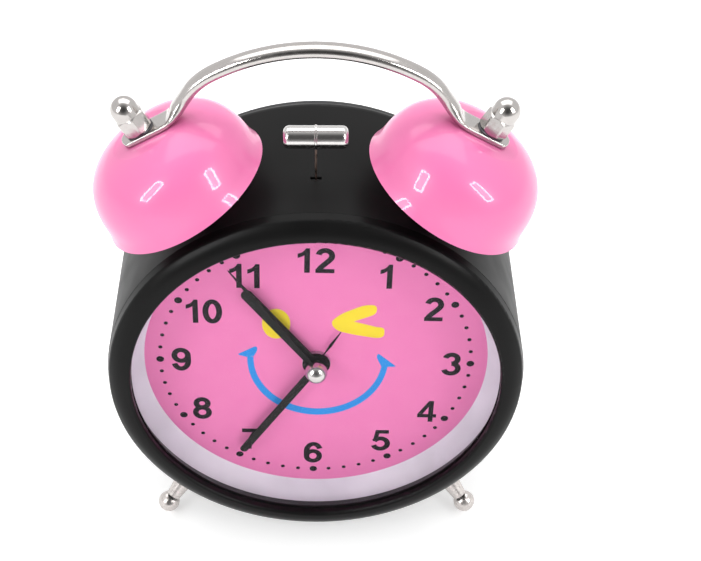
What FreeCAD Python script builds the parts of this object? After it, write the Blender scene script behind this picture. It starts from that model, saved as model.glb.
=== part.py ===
"""Twin bell alarm clock: a round drum case that leans back on two ball feet, with a smiling dial,
two bells, a carrying handle, a hammer driven by an electromagnet, and a quartz movement inside.

Every piece is drawn in the case frame: x to the right of the dial, y into the clock along the drum
axis, z up the dial, with the origin at the centre of the dial's face. The last step leans the whole
clock back, stands it on the floor and centres it over the origin, with its front facing -Y.
"""
import FreeCAD, Part
import math
import os
import Sketcher
from FreeCAD import Placement, Rotation, Vector

SIZES = {
    # drum case, bezel and rear cover
    "drum_radius": 57.5,
    "drum_wall": 0.8,
    "drum_front": 6.4,
    "drum_back": 47.0,
    "shoulder_radius": 5.0,
    "drum_lip_width": 6.5,
    "bezel_step": 0.05,
    "bezel_lip_inset": 6.6,
    "bezel_lip_depth": 1.96,
    "bezel_lip_round": 0.9,
    "bezel_roll": 1.5,
    "bezel_roll_inset": 1.9,
    "bezel_roll_drop": 1.1,
    "bezel_bore_inset": 4.6,
    "bezel_flange_width": 0.6,
    "bezel_land": 0.4,
    "bezel_skirt_end": 1.0,
    "bezel_skirt_gap": 0.2,
    "lens_thickness": 1.0,
    "lens_seat": 9.4,
    "lens_lap": 0.7,
    "lens_gap": 0.1,
    "cover_rim_inset": 2.3,
    "cover_rim_thickness": 1.3,
    "cover_dish_inset": 8.5,
    "cover_dish_depth": 8.3,
    "cover_wall": 1.5,
    "lean_angle": 7.0,
    # dial side
    "dial_lap": 0.95,
    "dial_thickness": 0.8,
    "dial_hole_radius": 3.8,
    "ring_width": 4.55,
    "ring_height": 5.0,
    "carrier_thickness": 1.5,
    "carrier_rim_width": 3.2,
    "cover_post_radius": 3.0,
    "cover_post_gap": 1.7,
    "cover_post_z": 28.3,
    "screw_radius": 1.2,
    "screw_head_radius": 2.6,
    "screw_head_height": 1.5,
    "screw_length": 9.0,
    "led_radius": 1.5,
    "led_inset": 2.6,
    # fits
    "running_fit": 0.08,
    "case_gap": 0.3,
    # movement
    "movement_width": 58.0,
    "movement_wall": 1.2,
    "front_shell_depth": 7.6,
    "rear_shell_depth": 8.6,
    "boss_wall": 0.97,
    "boss_height": 1.0,
    "nut_wall": 0.35,
    "tube_wall": 0.62,
    "arbor_radius": 0.4,
    "seconds_arbor_radius": 0.45,
    "set_arbor_radius": 0.75,
    "pivot_depth": 0.6,
    "wheel_thickness": 0.7,
    "wheel_spacing": 1.4,
    "first_wheel_level": 4.0,
    "third_distance": 10.2,
    "intermediate_distance": 10.08,
    "rotor_distance": 7.2,
    "set_distance": 11.0,
    "set_arbor_angle": 30.0,
    "rotor_angle": 60.0,
    "rotor_radius": 2.4,
    "rotor_length": 2.0,
    "magnet_gap": 0.5,
    "stator_thickness": 1.0,
    "stator_bar": 4.0,
    "core_wall_gap": 3.4,
    "core_bar": 1.8,
    "core_window": 2.3,
    "stator_half_width": 15.0,
    "winding_radius": 2.2,
    "winding_length": 20.0,
    "board_width": 40.0,
    "board_height": 14.0,
    "board_thickness": 1.2,
    "board_level": 12.0,
    "crystal_radius": 1.0,
    "crystal_length": 6.0,
    # hands
    "hand_thickness": 0.3,
    "hand_spacing": 0.7,
    "alarm_hand_length": 13.8,
    "alarm_hub_radius": 3.9,
    "alarm_hand_width": 0.75,
    "hour_hand_length": 33.5,
    "hour_hand_width": 3.3,
    "hour_hub_radius": 3.4,
    "minute_hand_length": 39.7,
    "minute_hand_width": 2.3,
    "minute_hub_radius": 2.6,
    "second_hand_length": 42.6,
    "second_hand_width": 0.9,
    "second_hub_radius": 1.5,
    "hour_hand_angle": -35.7,
    "minute_hand_angle": 213.2,
    "second_hand_angle": -33.2,
    "alarm_hand_angle": 29.6,
    "cap_radius": 3.14,
    "cap_depth": 1.15,
    # bells
    "bell_tilt": 30.0,
    "bell_rise": 6.5,
    "bell_offset": 2.65,
    "bell_depth": 8.5,
    "bell_radius": 22.9,
    "bell_height": 19.6,
    "bell_lip_radius": 23.65,
    "bell_flare_height": 4.0,
    "bell_wall": 1.0,
    "stud_radius": 2.0,
    "stud_hole_gap": 0.1,
    "spacer_radius": 3.4,
    "stud_nut_width": 7.0,
    "stud_nut_height": 3.0,
    "washer_radius": 3.8,
    "washer_thickness": 0.4,
    "cap_nut_width": 7.3,
    "cap_nut_hex_height": 5.0,
    "cap_nut_dome_radius": 3.6,
    "cap_nut_neck": 1.7,
    "cap_nut_chamfer": 0.45,
    "left_nut_turn": -13.0,
    "right_nut_turn": -23.0,
    # handle
    "tongue_width": 7.4,
    "tongue_thickness": 1.6,
    "tongue_tip": 5.7,
    "tongue_end_radius": 5.0,
    "tongue_bend": 8.6,
    "handle_rise": 38.9,
    "handle_arc_radius": 52.0,
    "handle_leg_run": 6.84,
    "handle_width": 5.2,
    "handle_thickness": 3.6,
    # hammer
    "hammer_depth": 8.3,
    "hammer_pivot_drop": 1.5,
    "hammer_pin_radius": 0.5,
    "hammer_hub_radius": 1.1,
    "hammer_rod_radius": 0.3,
    "hammer_rod_length": 15.3,
    "hammer_head_radius": 3.0,
    "hammer_head_length": 16.8,
    "hammer_head_round": 1.6,
    "hammer_ring_width": 0.7,
    "hammer_ring_rise": 0.25,
    "hammer_lever_length": 8.2,
    "hammer_lever_width": 1.6,
    "hammer_magnet_size": 4.0,
    "hammer_slot_length": 3.0,
    "hammer_slot_width": 1.2,
    "bracket_half_length": 17.2,
    "bracket_width": 8.0,
    "bracket_sheet": 1.0,
    "bracket_drop": 3.2,
    "ear_length": 3.0,
    "coil_radius": 4.0,
    "coil_bore_radius": 1.5,
    "coil_start": 6.9,
    # feet
    "foot_angle": 37.1,
    "foot_tilt": 20.0,
    "foot_depth": 7.8,
    "foot_ball_radius": 3.2,
    "foot_flat_depth": 0.12,
    "foot_neck_radius": 1.8,
    "foot_root_radius": 4.6,
    "foot_stud_radius": 1.5,
    "foot_stud_length": 6.0,
    "foot_nut_width": 5.5,
    "foot_nut_height": 2.4,
    # back of the clock
    "cell_radius": 7.1,
    "cell_length": 50.5,
    "cell_nub_radius": 2.75,
    "cell_nub_height": 1.5,
    "cell_clearance": 0.2,
    "cell_middle_z": -22.0,
    "bay_wall": 1.2,
    "hinge_pin_radius": 0.4,
    "hinge_pin_reach": 1.0,
    "hinge_pin_edge": 0.75,
    "contact_thickness": 0.4,
    "contact_height": 9.0,
    "spring_radius": 4.0,
    "spring_length": 3.2,
    "knob_radius": 6.2,
    "knob_length": 6.6,
    "knob_gap": 0.6,
    "knob_arbor_hole_gap": 0.4,
    "control_x": 20.0,
    "control_z": 22.0,
    "switch_width": 5.0,
    "switch_height": 4.0,
    "switch_travel": 4.0,
    "switch_cap_height": 2.0,
    "switch_stem": 2.0,
    "button_radius": 3.8,
    "button_flange_radius": 5.0,
    "button_height": 2.2,
    "button_travel": 1.5,
    "switch_board_size": 14.0,
    "switch_board_level": 31.0,
}

# teeth of the clock train, wheel against pinion
INTERMEDIATE_TEETH = 40
SECONDS_TEETH = 48
THIRD_TEETH = 60
CENTRE_TEETH = 64
MINUTE_TEETH = 36
HOUR_TEETH = 48
ALARM_TEETH = 48
SMALL_PINION_TEETH = 8
LARGE_PINION_TEETH = 12
KNOB_RIBS = 30
SCREW_SLOT_WIDTH = 0.5

doc = FreeCAD.newDocument("TwinBellAlarmClock")
sheet = doc.addObject("Spreadsheet::Sheet", "Sizes")
for row, (alias, number) in enumerate(SIZES.items(), start=1):
    sheet.set(f"A{row}", alias)
    sheet.set(f"B{row}", str(number))
    sheet.setAlias(f"B{row}", alias)
doc.recompute()


class Size:
    """A length worked out from the sheet: its number, and the expression that gives it."""

    def __init__(self, number, text):
        self.number = number
        self.text = text

    def __float__(self):
        return float(self.number)

    def __add__(self, other):
        other = as_size(other)
        return Size(self.number + other.number, f"({self.text} + {other.text})")

    def __sub__(self, other):
        other = as_size(other)
        return Size(self.number - other.number, f"({self.text} - {other.text})")

    def __mul__(self, other):
        other = as_size(other)
        return Size(self.number * other.number, f"({self.text} * {other.text})")

    def __truediv__(self, other):
        other = as_size(other)
        return Size(self.number / other.number, f"({self.text} / {other.text})")

    def __rsub__(self, other):
        return as_size(other) - self

    def __neg__(self):
        return Size(-self.number, f"(0 - {self.text})")

    __radd__ = __add__
    __rmul__ = __mul__


def as_size(value):
    if isinstance(value, Size):
        return value
    return Size(value, f"({value})")


def size(alias):
    return Size(float(sheet.get(alias)), f"Sizes.{alias}")


def root(value):
    return Size(math.sqrt(value.number), f"sqrt({value.text})")


def bind(thing, **sizes):
    for name, value in sizes.items():
        thing.setExpression(name, as_size(value).text)


subparts = []


def keep(label, thing):
    """Give a finished sub-part its own label and list it for export."""
    thing.Label = label
    subparts.append(thing)
    return thing


# Placements: local z runs out of the dial, into the clock, or along a bell's axis.
def facing(depth, x=0.0, z=0.0):
    return Placement(Vector(float(x), float(depth), float(z)), Rotation(Vector(1, 0, 0), 90))


def backing(depth, x=0.0, z=0.0):
    return Placement(Vector(float(x), float(depth), float(z)), Rotation(Vector(1, 0, 0), -90))


def turned_to(angle):
    """A turn about the drum axis, clockwise as seen from the front."""
    return Placement(Vector(), Rotation(Vector(0, 1, 0), float(angle)))


def box(x_from, x_to, y_from, y_to, z_from, z_to):
    block = doc.addObject("Part::Box", "Block")
    x_from, y_from, z_from = as_size(x_from), as_size(y_from), as_size(z_from)
    bind(block, Length=x_to - x_from, Width=y_to - y_from, Height=z_to - z_from)
    block.Placement = Placement(Vector(float(x_from), float(y_from), float(z_from)), Rotation())
    return block


def rod(radius, length, place):
    cylinder = doc.addObject("Part::Cylinder", "Rod")
    bind(cylinder, Radius=radius, Height=length)
    cylinder.Placement = place
    return cylinder


def cone(first_radius, last_radius, length, place):
    taper = doc.addObject("Part::Cone", "Taper")
    bind(taper, Radius1=first_radius, Radius2=last_radius, Height=length)
    taper.Placement = place
    return taper


def ball(radius, centre):
    sphere = doc.addObject("Part::Sphere", "Ball")
    bind(sphere, Radius=radius)
    sphere.Placement = Placement(centre, Rotation())
    return sphere


def hexagon(width, length, place):
    prism = doc.addObject("Part::Prism", "Hexagon")
    prism.Polygon = 6
    bind(prism, Circumradius=width / math.sqrt(3), Height=length)
    prism.Placement = place
    return prism


def joined(pieces):
    if len(pieces) == 1:
        return pieces[0]
    fuse = doc.addObject("Part::MultiFuse", "Joined")
    fuse.Shapes = pieces
    fuse.Refine = True
    return fuse


def less(base, cutters):
    cut = doc.addObject("Part::Cut", "Cut")
    cut.Base = base
    cut.Tool = joined(cutters)
    return cut


def within(base, limit):
    common = doc.addObject("Part::Common", "Within")
    common.Base = base
    common.Tool = limit
    return common


def group(pieces):
    compound = doc.addObject("Part::Compound", "Group")
    compound.Links = pieces
    return compound


def origin_plane(body, role):
    for feature in body.Origin.OriginFeatures:
        if feature.Role == role:
            return feature
    raise ValueError(role)


def closed_sketch(body, role, corners):
    """A closed outline of straight lines, each corner held by two bound distances."""
    sketch = body.newObject("Sketcher::SketchObject", "Outline")
    sketch.AttachmentSupport = [(origin_plane(body, role), "")]
    sketch.MapMode = "FlatFace"
    corners = [(as_size(a), as_size(b)) for a, b in corners]
    count = len(corners)
    for index in range(count):
        here, there = corners[index], corners[(index + 1) % count]
        start = Vector(float(here[0]), float(here[1]), 0)
        end = Vector(float(there[0]), float(there[1]), 0)
        sketch.addGeometry(Part.LineSegment(start, end))
    for index in range(count):
        sketch.addConstraint(Sketcher.Constraint("Coincident", index, 2, (index + 1) % count, 1))
    for index, corner in enumerate(corners):
        for kind, value in zip(("DistanceX", "DistanceY"), corner):
            number = sketch.addConstraint(Sketcher.Constraint(kind, -1, 1, index, 1, float(value)))
            sketch.setExpression(f"Constraints[{number}]", value.text)
    return sketch


def turned_body(corners, rounds=()):
    """A body turned about its own z axis from (radius, height) corners, with rounded edges."""
    body = doc.addObject("PartDesign::Body", "Turned")
    sketch = closed_sketch(body, "XZ_Plane", corners)
    turning = body.newObject("PartDesign::Revolution", "Turning")
    turning.Profile = sketch
    turning.ReferenceAxis = (sketch, ["V_Axis"])
    turning.Angle = 360
    for radius, height, round_radius in rounds:
        doc.recompute()
        fillet = body.newObject("PartDesign::Fillet", "Round")
        base = fillet.BaseFeature if fillet.BaseFeature else turning
        fillet.Base = (base, [edge_name(base.Shape, float(radius), float(height))])
        bind(fillet, Radius=round_radius)
    return body


def edge_name(shape, radius, height):
    """The name of the round edge that has this radius and height."""
    for number, edge in enumerate(shape.Edges, start=1):
        curve = edge.Curve
        if isinstance(curve, Part.Circle):
            if abs(curve.Radius - radius) < 1e-4 and abs(curve.Center.z - height) < 1e-4:
                return f"Edge{number}"
    raise ValueError(f"no round edge of radius {radius} at {height}")


def formed(label, shape):
    """A sub-part whose curves are worked out here from the sheet's sizes."""
    feature = doc.addObject("Part::Feature", "Formed")
    feature.Shape = shape
    return keep(label, feature)


def shape_of(thing):
    doc.recompute()
    return thing.Shape


# Case
drum_bore = size("drum_radius") - size("drum_wall")
bezel_bore = size("drum_radius") - size("bezel_bore_inset")
bezel_lip = size("drum_radius") - size("bezel_lip_inset")
lens_radius = bezel_lip + size("lens_lap")
ring_outer = bezel_bore - size("case_gap")
ring_inner = ring_outer - size("ring_width")
cover_post_x = size("movement_width") / 2 + size("cover_post_gap") + size("cover_post_radius")
led_x = ring_outer - size("led_inset")
bell_distance = size("drum_radius") + size("bell_rise")
handle_top = size("drum_radius") + size("handle_rise")
drum_length = size("drum_front") + size("drum_back")
cover_inside = size("drum_back") + size("cover_rim_thickness") - size("cover_dish_depth") - size("cover_wall")
cover_face = cover_inside + size("cover_wall")
carrier_back = size("dial_thickness") + size("carrier_thickness")
movement_back = carrier_back + size("front_shell_depth") + size("rear_shell_depth")
axis_sides = (-1, 1)


def drum_cylinder(radius):
    """A cylinder on the drum axis, longer than the clock, to fit pieces to the drum's wall."""
    return rod(radius, size("drum_back") * 4, backing(size("drum_back") * -2))


def bell_axis(side):
    tilt = math.radians(float(size("bell_tilt")))
    return Vector(side * math.sin(tilt), 0, math.cos(tilt))


def bell_foot(side):
    """The centre of the bell's rim circle."""
    tilt = math.radians(float(size("bell_tilt")))
    along = float(bell_distance)
    across = float(size("bell_offset"))
    x = along * math.sin(tilt) + across * math.cos(tilt)
    z = along * math.cos(tilt) - across * math.sin(tilt)
    return Vector(side * x, float(size("bell_depth")), z)


def on_bell(side, height):
    """A placement on the bell's axis, at a height above its rim, with local x across the clock."""
    turn = Rotation(Vector(0, 1, 0), side * float(size("bell_tilt")))
    return Placement(bell_foot(side) + bell_axis(side) * float(height), turn)


def wall_height(radius):
    """Height on a bell's axis at which it crosses a cylinder about the drum axis."""
    return root(radius * radius - size("bell_offset") * size("bell_offset")) - bell_distance


def foot_axis(side):
    angle = math.radians(float(size("foot_angle")))
    tilt = math.radians(float(size("foot_tilt")))
    flat = math.cos(tilt)
    return Vector(side * math.sin(angle) * flat, -math.sin(tilt), -math.cos(angle) * flat)


def foot_root(side, radius):
    """Where a foot's axis crosses a cylinder of this radius about the drum axis."""
    angle = math.radians(float(size("foot_angle")))
    step = float(radius) - float(size("drum_radius"))
    at_wall = Vector(side * math.sin(angle), 0, -math.cos(angle)) * float(size("drum_radius"))
    at_wall.y = float(size("foot_depth"))
    return at_wall + foot_axis(side) * (step / math.cos(math.radians(float(size("foot_tilt")))))


def floor_drop():
    """Distance from the drum axis down to the floor, where the drum's shoulder rests on it."""
    lean = math.radians(float(size("lean_angle")))
    shoulder = float(size("shoulder_radius"))
    depth = float(size("drum_back")) - shoulder
    return depth * math.sin(lean) + (float(size("drum_radius")) - shoulder) * math.cos(lean) + shoulder


def foot_length():
    """Distance along a foot from the drum's wall to the centre of its ball."""
    lean = math.radians(float(size("lean_angle")))
    start, direction = foot_root(1, size("drum_radius")), foot_axis(1)
    reach = float(size("foot_ball_radius") - size("foot_flat_depth")) - floor_drop()
    height = start.z * math.cos(lean) - start.y * math.sin(lean)
    return (reach - height) / (direction.z * math.cos(lean) - direction.y * math.sin(lean))


def along(start, direction):
    return Placement(start, Rotation(Vector(0, 0, 1), direction))


def make_drum_case():
    lip_radius = size("drum_radius") - size("drum_lip_width")
    inner_back = drum_length - size("drum_wall")
    corners = [
        (drum_bore, 0), (size("drum_radius"), 0), (size("drum_radius"), drum_length),
        (lip_radius, drum_length), (lip_radius, inner_back), (drum_bore, inner_back),
    ]
    rounds = [
        (size("drum_radius"), drum_length, size("shoulder_radius")),
        (drum_bore, inner_back, size("shoulder_radius") - size("drum_wall")),
    ]
    shell = turned_body(corners, rounds)
    shell.Placement = backing(-size("drum_front"))
    slot_half = size("hammer_slot_length") / 2
    slot_side = size("hammer_slot_width") / 2
    top = size("drum_radius")
    cutters = [box(-slot_half, slot_half, size("hammer_depth") - slot_side, size("hammer_depth") + slot_side,
                   top / 2, top * 2)]
    for side in axis_sides:
        start = wall_height(size("drum_radius")) - size("spacer_radius")
        hole_radius = size("stud_radius") + size("stud_hole_gap")
        cutters.append(rod(hole_radius, size("spacer_radius") * 2, on_bell(side, start)))
        hole = foot_root(side, drum_bore - size("foot_root_radius"))
        foot_hole = size("foot_stud_radius") + size("stud_hole_gap")
        cutters.append(rod(foot_hole, size("foot_root_radius") * 3, along(hole, foot_axis(side))))
    keep("drum_case", less(shell, cutters))


def make_front_bezel():
    """A ring with a rolled front: its skirt enters the drum, and the lens snaps into its throat."""
    drum_radius = float(size("drum_radius"))
    drum_front = float(size("drum_front"))
    outer = drum_radius - float(size("bezel_step"))
    skirt = float(drum_bore - size("bezel_skirt_gap"))
    skirt_end = float(size("bezel_skirt_end"))
    bore = float(bezel_bore)
    lip = float(bezel_lip)
    flange_back = float(size("ring_height") + size("lens_gap"))
    lens_front = float(size("lens_seat"))
    lens_back = lens_front - float(size("lens_thickness"))
    throat = lens_back - float(size("bezel_land"))
    groove = float(lens_radius + size("lens_gap"))
    crest = lens_front + float(size("bezel_lip_depth"))
    lip_round = float(size("bezel_lip_round"))
    roll = float(size("bezel_roll"))
    roll_radius = drum_radius - float(size("bezel_roll_inset"))
    roll_height = lens_front - float(size("bezel_roll_drop"))

    # local x is the radius, local z the height out of the dial
    def point(radius, height):
        return Vector(radius, 0, height)

    def around(radius, height, reach, degrees):
        """A point on a circle, the angle measured from straight out of the dial."""
        angle = math.radians(degrees)
        return point(radius + reach * math.sin(angle), height + reach * math.cos(angle))

    inside = [
        point(outer, drum_front), point(skirt, drum_front), point(skirt, skirt_end), point(bore, skirt_end),
        point(bore, flange_back), point(bore - float(size("bezel_flange_width")), flange_back),
        point(lip, throat), point(lip, lens_back), point(groove, lens_back), point(groove, lens_front),
        point(lip, lens_front), point(lip, crest - lip_round)]
    shoulder, brow = around(roll_radius, roll_height, roll, 80), around(roll_radius, roll_height, roll, 44)
    peak = point(lip + lip_round, crest)
    run, fall = brow.x - peak.x, peak.z - brow.z
    face_radius = (run * run + fall * fall) / (2 * fall)
    face_turn = math.degrees(math.asin(run / face_radius))
    edges = [Part.LineSegment(first, last) for first, last in zip(inside, inside[1:])]
    edges += [
        Part.Arc(inside[-1], around(lip + lip_round, crest - lip_round, lip_round, -45), peak),
        Part.Arc(peak, around(peak.x, crest - face_radius, face_radius, face_turn / 2), brow),
        Part.Arc(brow, around(roll_radius, roll_height, roll, 62), shoulder),
        Part.LineSegment(shoulder, inside[0])]
    wire = Part.Wire([edge.toShape() for edge in edges])
    ring = Part.Face(wire).revolve(Vector(), Vector(0, 0, 1), 360)
    formed("front_bezel", ring).Placement = facing(0)


def make_dial_side():
    keep("lens", rod(lens_radius, size("lens_thickness"), facing(size("lens_thickness") - size("lens_seat"))))

    ring = turned_body([
        (ring_inner, 0), (ring_outer, 0), (ring_outer, size("ring_height"))])
    ring.Placement = facing(0)
    keep("reflector_ring", ring)

    disc = rod(ring_inner + size("dial_lap"), size("dial_thickness"), backing(0))
    hole = rod(size("dial_hole_radius"), size("dial_thickness") * 3, backing(-size("dial_thickness")))
    keep("dial_disc", less(disc, [hole]))

    # the carrier's rim reaches forward to the bezel's skirt and clamps it all together
    rim = drum_bore - size("case_gap")
    recess = rim - size("carrier_rim_width")
    rim_height = size("bezel_skirt_end") + size("dial_thickness") + size("carrier_thickness")
    plate = turned_body([
        (size("dial_hole_radius"), 0), (rim, 0), (rim, rim_height), (recess, rim_height),
        (recess, size("carrier_thickness")), (size("dial_hole_radius"), size("carrier_thickness"))])
    plate.Placement = facing(carrier_back)
    pieces = [plate]
    holes = []
    post_length = cover_inside - carrier_back
    for x in axis_sides:
        for z in axis_sides:
            place = backing(carrier_back, cover_post_x * x, size("cover_post_z") * z)
            pieces.append(rod(size("cover_post_radius"), post_length, place))
            pilot = cover_face - size("screw_length")
            place = backing(pilot, cover_post_x * x, size("cover_post_z") * z)
            holes.append(rod(size("screw_radius"), size("screw_length"), place))
    keep("dial_carrier", less(joined(pieces), holes))

    leds = []
    for side in axis_sides:
        place = backing(carrier_back, led_x * side)
        base = rod(size("led_radius") + size("case_gap"), size("led_radius"), place)
        dome = ball(size("led_radius"), Vector(side * float(led_x),
                                               float(carrier_back + size("led_radius")), 0))
        leds.append(joined([base, dome]))
    keep("light_leds", group(leds))


# Movement
def level(number):
    """Depth of the front face of a wheel in the stack behind the dial."""
    return size("first_wheel_level") + size("wheel_spacing") * number


ALARM_LEVEL, HOUR_LEVEL, MINUTE_LEVEL, CENTRE_LEVEL, THIRD_LEVEL, SECONDS_LEVEL, INTERMEDIATE_LEVEL = range(7)


def polar(distance, angle):
    """A point in the dial plane, at an angle from x, as (x, z)."""
    turn = math.radians(angle)
    return float(distance) * math.cos(turn), float(distance) * math.sin(turn)


centre_at = (0.0, 0.0)
third_at = polar(size("third_distance"), -90)
intermediate_at = polar(size("intermediate_distance"), 90)
minute_at = polar(size("set_distance"), 180 - float(size("set_arbor_angle")))
alarm_at = polar(size("set_distance"), float(size("set_arbor_angle")))
rotor_step = polar(size("rotor_distance"), float(size("rotor_angle")))
rotor_at = (intermediate_at[0] + rotor_step[0], intermediate_at[1] + rotor_step[1])


def toothed(teeth, pitch_radius, length, phase, addendum=0.75, dedendum=1.1, share=0.36):
    """A prism with straight-sided teeth about local z, one tooth centred at the phase angle."""
    module = 2 * pitch_radius / teeth
    tip, foot = pitch_radius + addendum * module, pitch_radius - dedendum * module
    step = 360.0 / teeth
    points = []
    for number in range(teeth):
        middle = phase + number * step
        for radius, half in ((foot, -share * 0.65), (tip, -share * 0.3), (tip, share * 0.3), (foot, share * 0.65)):
            turn = math.radians(middle + half * step)
            points.append(Vector(radius * math.cos(turn), radius * math.sin(turn), 0))
    points.append(points[0])
    return Part.Face(Part.makePolygon(points)).extrude(Vector(0, 0, float(length)))


def wheel_on(teeth, mate_teeth, at, mate_at, number, driver):
    """A wheel in the stack, meshed with its mate: the driver has a tooth on the line of centres."""
    dx, dz = mate_at[0] - at[0], mate_at[1] - at[1]
    distance = math.hypot(dx, dz)
    pitch_radius = distance * teeth / (teeth + mate_teeth)
    phase = math.degrees(math.atan2(-dz, dx))
    if not driver:
        phase += 180.0 / teeth
    wheel = toothed(teeth, pitch_radius, size("wheel_thickness"), phase)
    wheel.Placement = backing(level(number), at[0], at[1])
    return wheel


def shaft(radius, start, end, at=centre_at):
    length = float(end) - float(start)
    place = backing(start, at[0], at[1])
    shape = Part.makeCylinder(float(radius), length)
    shape.Placement = place
    return shape


def train_piece(label, solids, bore=None):
    shape = solids[0].fuse(solids[1:])
    if bore:
        shape = shape.cut(bore)
    formed(label, shape.removeSplitter())


front_pivot = carrier_back + size("movement_wall") - size("pivot_depth")
rear_pivot = movement_back - size("movement_wall") + size("pivot_depth")
second_tube = size("seconds_arbor_radius") + size("running_fit")
minute_tube = second_tube + size("tube_wall")
hour_bore = minute_tube + size("running_fit")
hour_tube = hour_bore + size("tube_wall")
alarm_bore = hour_tube + size("running_fit")
alarm_tube = alarm_bore + size("tube_wall")
boss_bore = alarm_tube + size("running_fit")
boss_radius = boss_bore + size("boss_wall")


def hand_back(number):
    """Height of the rear face of a hand above the dial, counted out from the dial nut."""
    return size("boss_height") + size("running_fit") + size("hand_spacing") * number


def hand_front(number):
    return hand_back(number) + size("hand_thickness")


ALARM_HAND, HOUR_HAND, MINUTE_HAND, SECOND_HAND = range(4)


def make_train():
    thickness = size("wheel_thickness")
    train_piece("rotor", [
        shaft(size("arbor_radius"), front_pivot, rear_pivot, rotor_at),
        wheel_on(SMALL_PINION_TEETH, INTERMEDIATE_TEETH, rotor_at, intermediate_at, INTERMEDIATE_LEVEL, True),
        shaft(size("rotor_radius"), rotor_start, rotor_start + size("rotor_length"), rotor_at)])
    train_piece("intermediate_wheel", [
        shaft(size("arbor_radius"), front_pivot, rear_pivot, intermediate_at),
        wheel_on(INTERMEDIATE_TEETH, SMALL_PINION_TEETH, intermediate_at, rotor_at, INTERMEDIATE_LEVEL, False),
        wheel_on(SMALL_PINION_TEETH, SECONDS_TEETH, intermediate_at, centre_at, SECONDS_LEVEL, True)])
    train_piece("seconds_wheel", [
        shaft(size("seconds_arbor_radius"), -hand_front(SECOND_HAND), rear_pivot),
        wheel_on(SECONDS_TEETH, SMALL_PINION_TEETH, centre_at, intermediate_at, SECONDS_LEVEL, False),
        wheel_on(SMALL_PINION_TEETH, THIRD_TEETH, centre_at, third_at, THIRD_LEVEL, True)])
    train_piece("third_wheel", [
        shaft(size("arbor_radius"), front_pivot, rear_pivot, third_at),
        wheel_on(THIRD_TEETH, SMALL_PINION_TEETH, third_at, centre_at, THIRD_LEVEL, False),
        wheel_on(SMALL_PINION_TEETH, CENTRE_TEETH, third_at, centre_at, CENTRE_LEVEL, True)])
    train_piece("centre_wheel", [
        shaft(minute_tube, -hand_front(MINUTE_HAND), level(CENTRE_LEVEL) + thickness),
        wheel_on(CENTRE_TEETH, SMALL_PINION_TEETH, centre_at, third_at, CENTRE_LEVEL, False),
        wheel_on(LARGE_PINION_TEETH, MINUTE_TEETH, centre_at, minute_at, MINUTE_LEVEL, True)],
        shaft(second_tube, -hand_front(MINUTE_HAND), level(CENTRE_LEVEL) + thickness))
    train_piece("minute_wheel", [
        shaft(size("set_arbor_radius"), front_pivot, knob_end, minute_at),
        wheel_on(MINUTE_TEETH, LARGE_PINION_TEETH, minute_at, centre_at, MINUTE_LEVEL, False),
        wheel_on(LARGE_PINION_TEETH, HOUR_TEETH, minute_at, centre_at, HOUR_LEVEL, True)])
    train_piece("hour_wheel", [
        shaft(hour_tube, -hand_front(HOUR_HAND), level(HOUR_LEVEL) + thickness),
        wheel_on(HOUR_TEETH, LARGE_PINION_TEETH, centre_at, minute_at, HOUR_LEVEL, False)],
        shaft(hour_bore, -hand_front(HOUR_HAND), level(HOUR_LEVEL) + thickness))
    train_piece("alarm_wheel", [
        shaft(alarm_tube, -hand_front(ALARM_HAND), level(ALARM_LEVEL) + thickness),
        wheel_on(ALARM_TEETH, LARGE_PINION_TEETH, centre_at, alarm_at, ALARM_LEVEL, False)],
        shaft(alarm_bore, -hand_front(ALARM_HAND), level(ALARM_LEVEL) + thickness))
    train_piece("alarm_pinion", [
        shaft(size("set_arbor_radius"), front_pivot, knob_end, alarm_at),
        wheel_on(LARGE_PINION_TEETH, ALARM_TEETH, alarm_at, centre_at, ALARM_LEVEL, True)])


rotor_start = level(INTERMEDIATE_LEVEL) + size("wheel_spacing")
stator_back = rotor_start + size("rotor_length") / 2 + size("stator_thickness") / 2
stator_front = stator_back - size("stator_thickness")
rear_wall_face = movement_back - size("movement_wall")


def pivot_hole(depth, at, radius=None):
    radius = radius or size("arbor_radius")
    return rod(radius + size("running_fit"), size("pivot_depth"), backing(depth, at[0], at[1]))


def make_movement_shells():
    half = size("movement_width") / 2
    wall = size("movement_wall")
    front_end = carrier_back + size("front_shell_depth")
    block = box(-half, half, carrier_back, front_end, -half, half)
    boss = rod(boss_radius, carrier_back + size("boss_height"), facing(carrier_back))
    room = box(wall - half, half - wall, carrier_back + wall, front_end + wall, wall - half, half - wall)
    bore = rod(boss_bore, size("movement_width"), facing(carrier_back + wall * 2))
    holes = [room, bore]
    for at in (third_at, intermediate_at, rotor_at):
        holes.append(pivot_hole(front_pivot, at))
    for at in (minute_at, alarm_at):
        holes.append(pivot_hole(front_pivot, at, size("set_arbor_radius")))
    keep("movement_front", less(joined([block, boss]), holes))

    block = box(-half, half, front_end, movement_back, -half, half)
    room = box(wall - half, half - wall, front_end - wall, rear_wall_face, wall - half, half - wall)
    holes = [pivot_hole(rear_wall_face, centre_at, size("seconds_arbor_radius"))]
    for at in (third_at, intermediate_at, rotor_at):
        holes.append(pivot_hole(rear_wall_face, at))
    for at in (minute_at, alarm_at):
        place = backing(rear_wall_face - wall, at[0], at[1])
        holes.append(rod(size("set_arbor_radius") + size("running_fit"), wall * 3, place))
    pillars = []
    board_back = size("board_level") + size("board_thickness")
    for side in axis_sides:
        place = backing(board_back, size("board_width") * 0.4 * side, board_middle)
        pillars.append(rod(wall, rear_wall_face - board_back, place))
        place = backing(stator_back, (size("stator_half_width") - wall) * side, stator_low + wall)
        pillars.append(rod(wall, rear_wall_face - stator_back, place))
    keep("movement_rear", less(joined([less(block, [room])] + pillars), holes))


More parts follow.
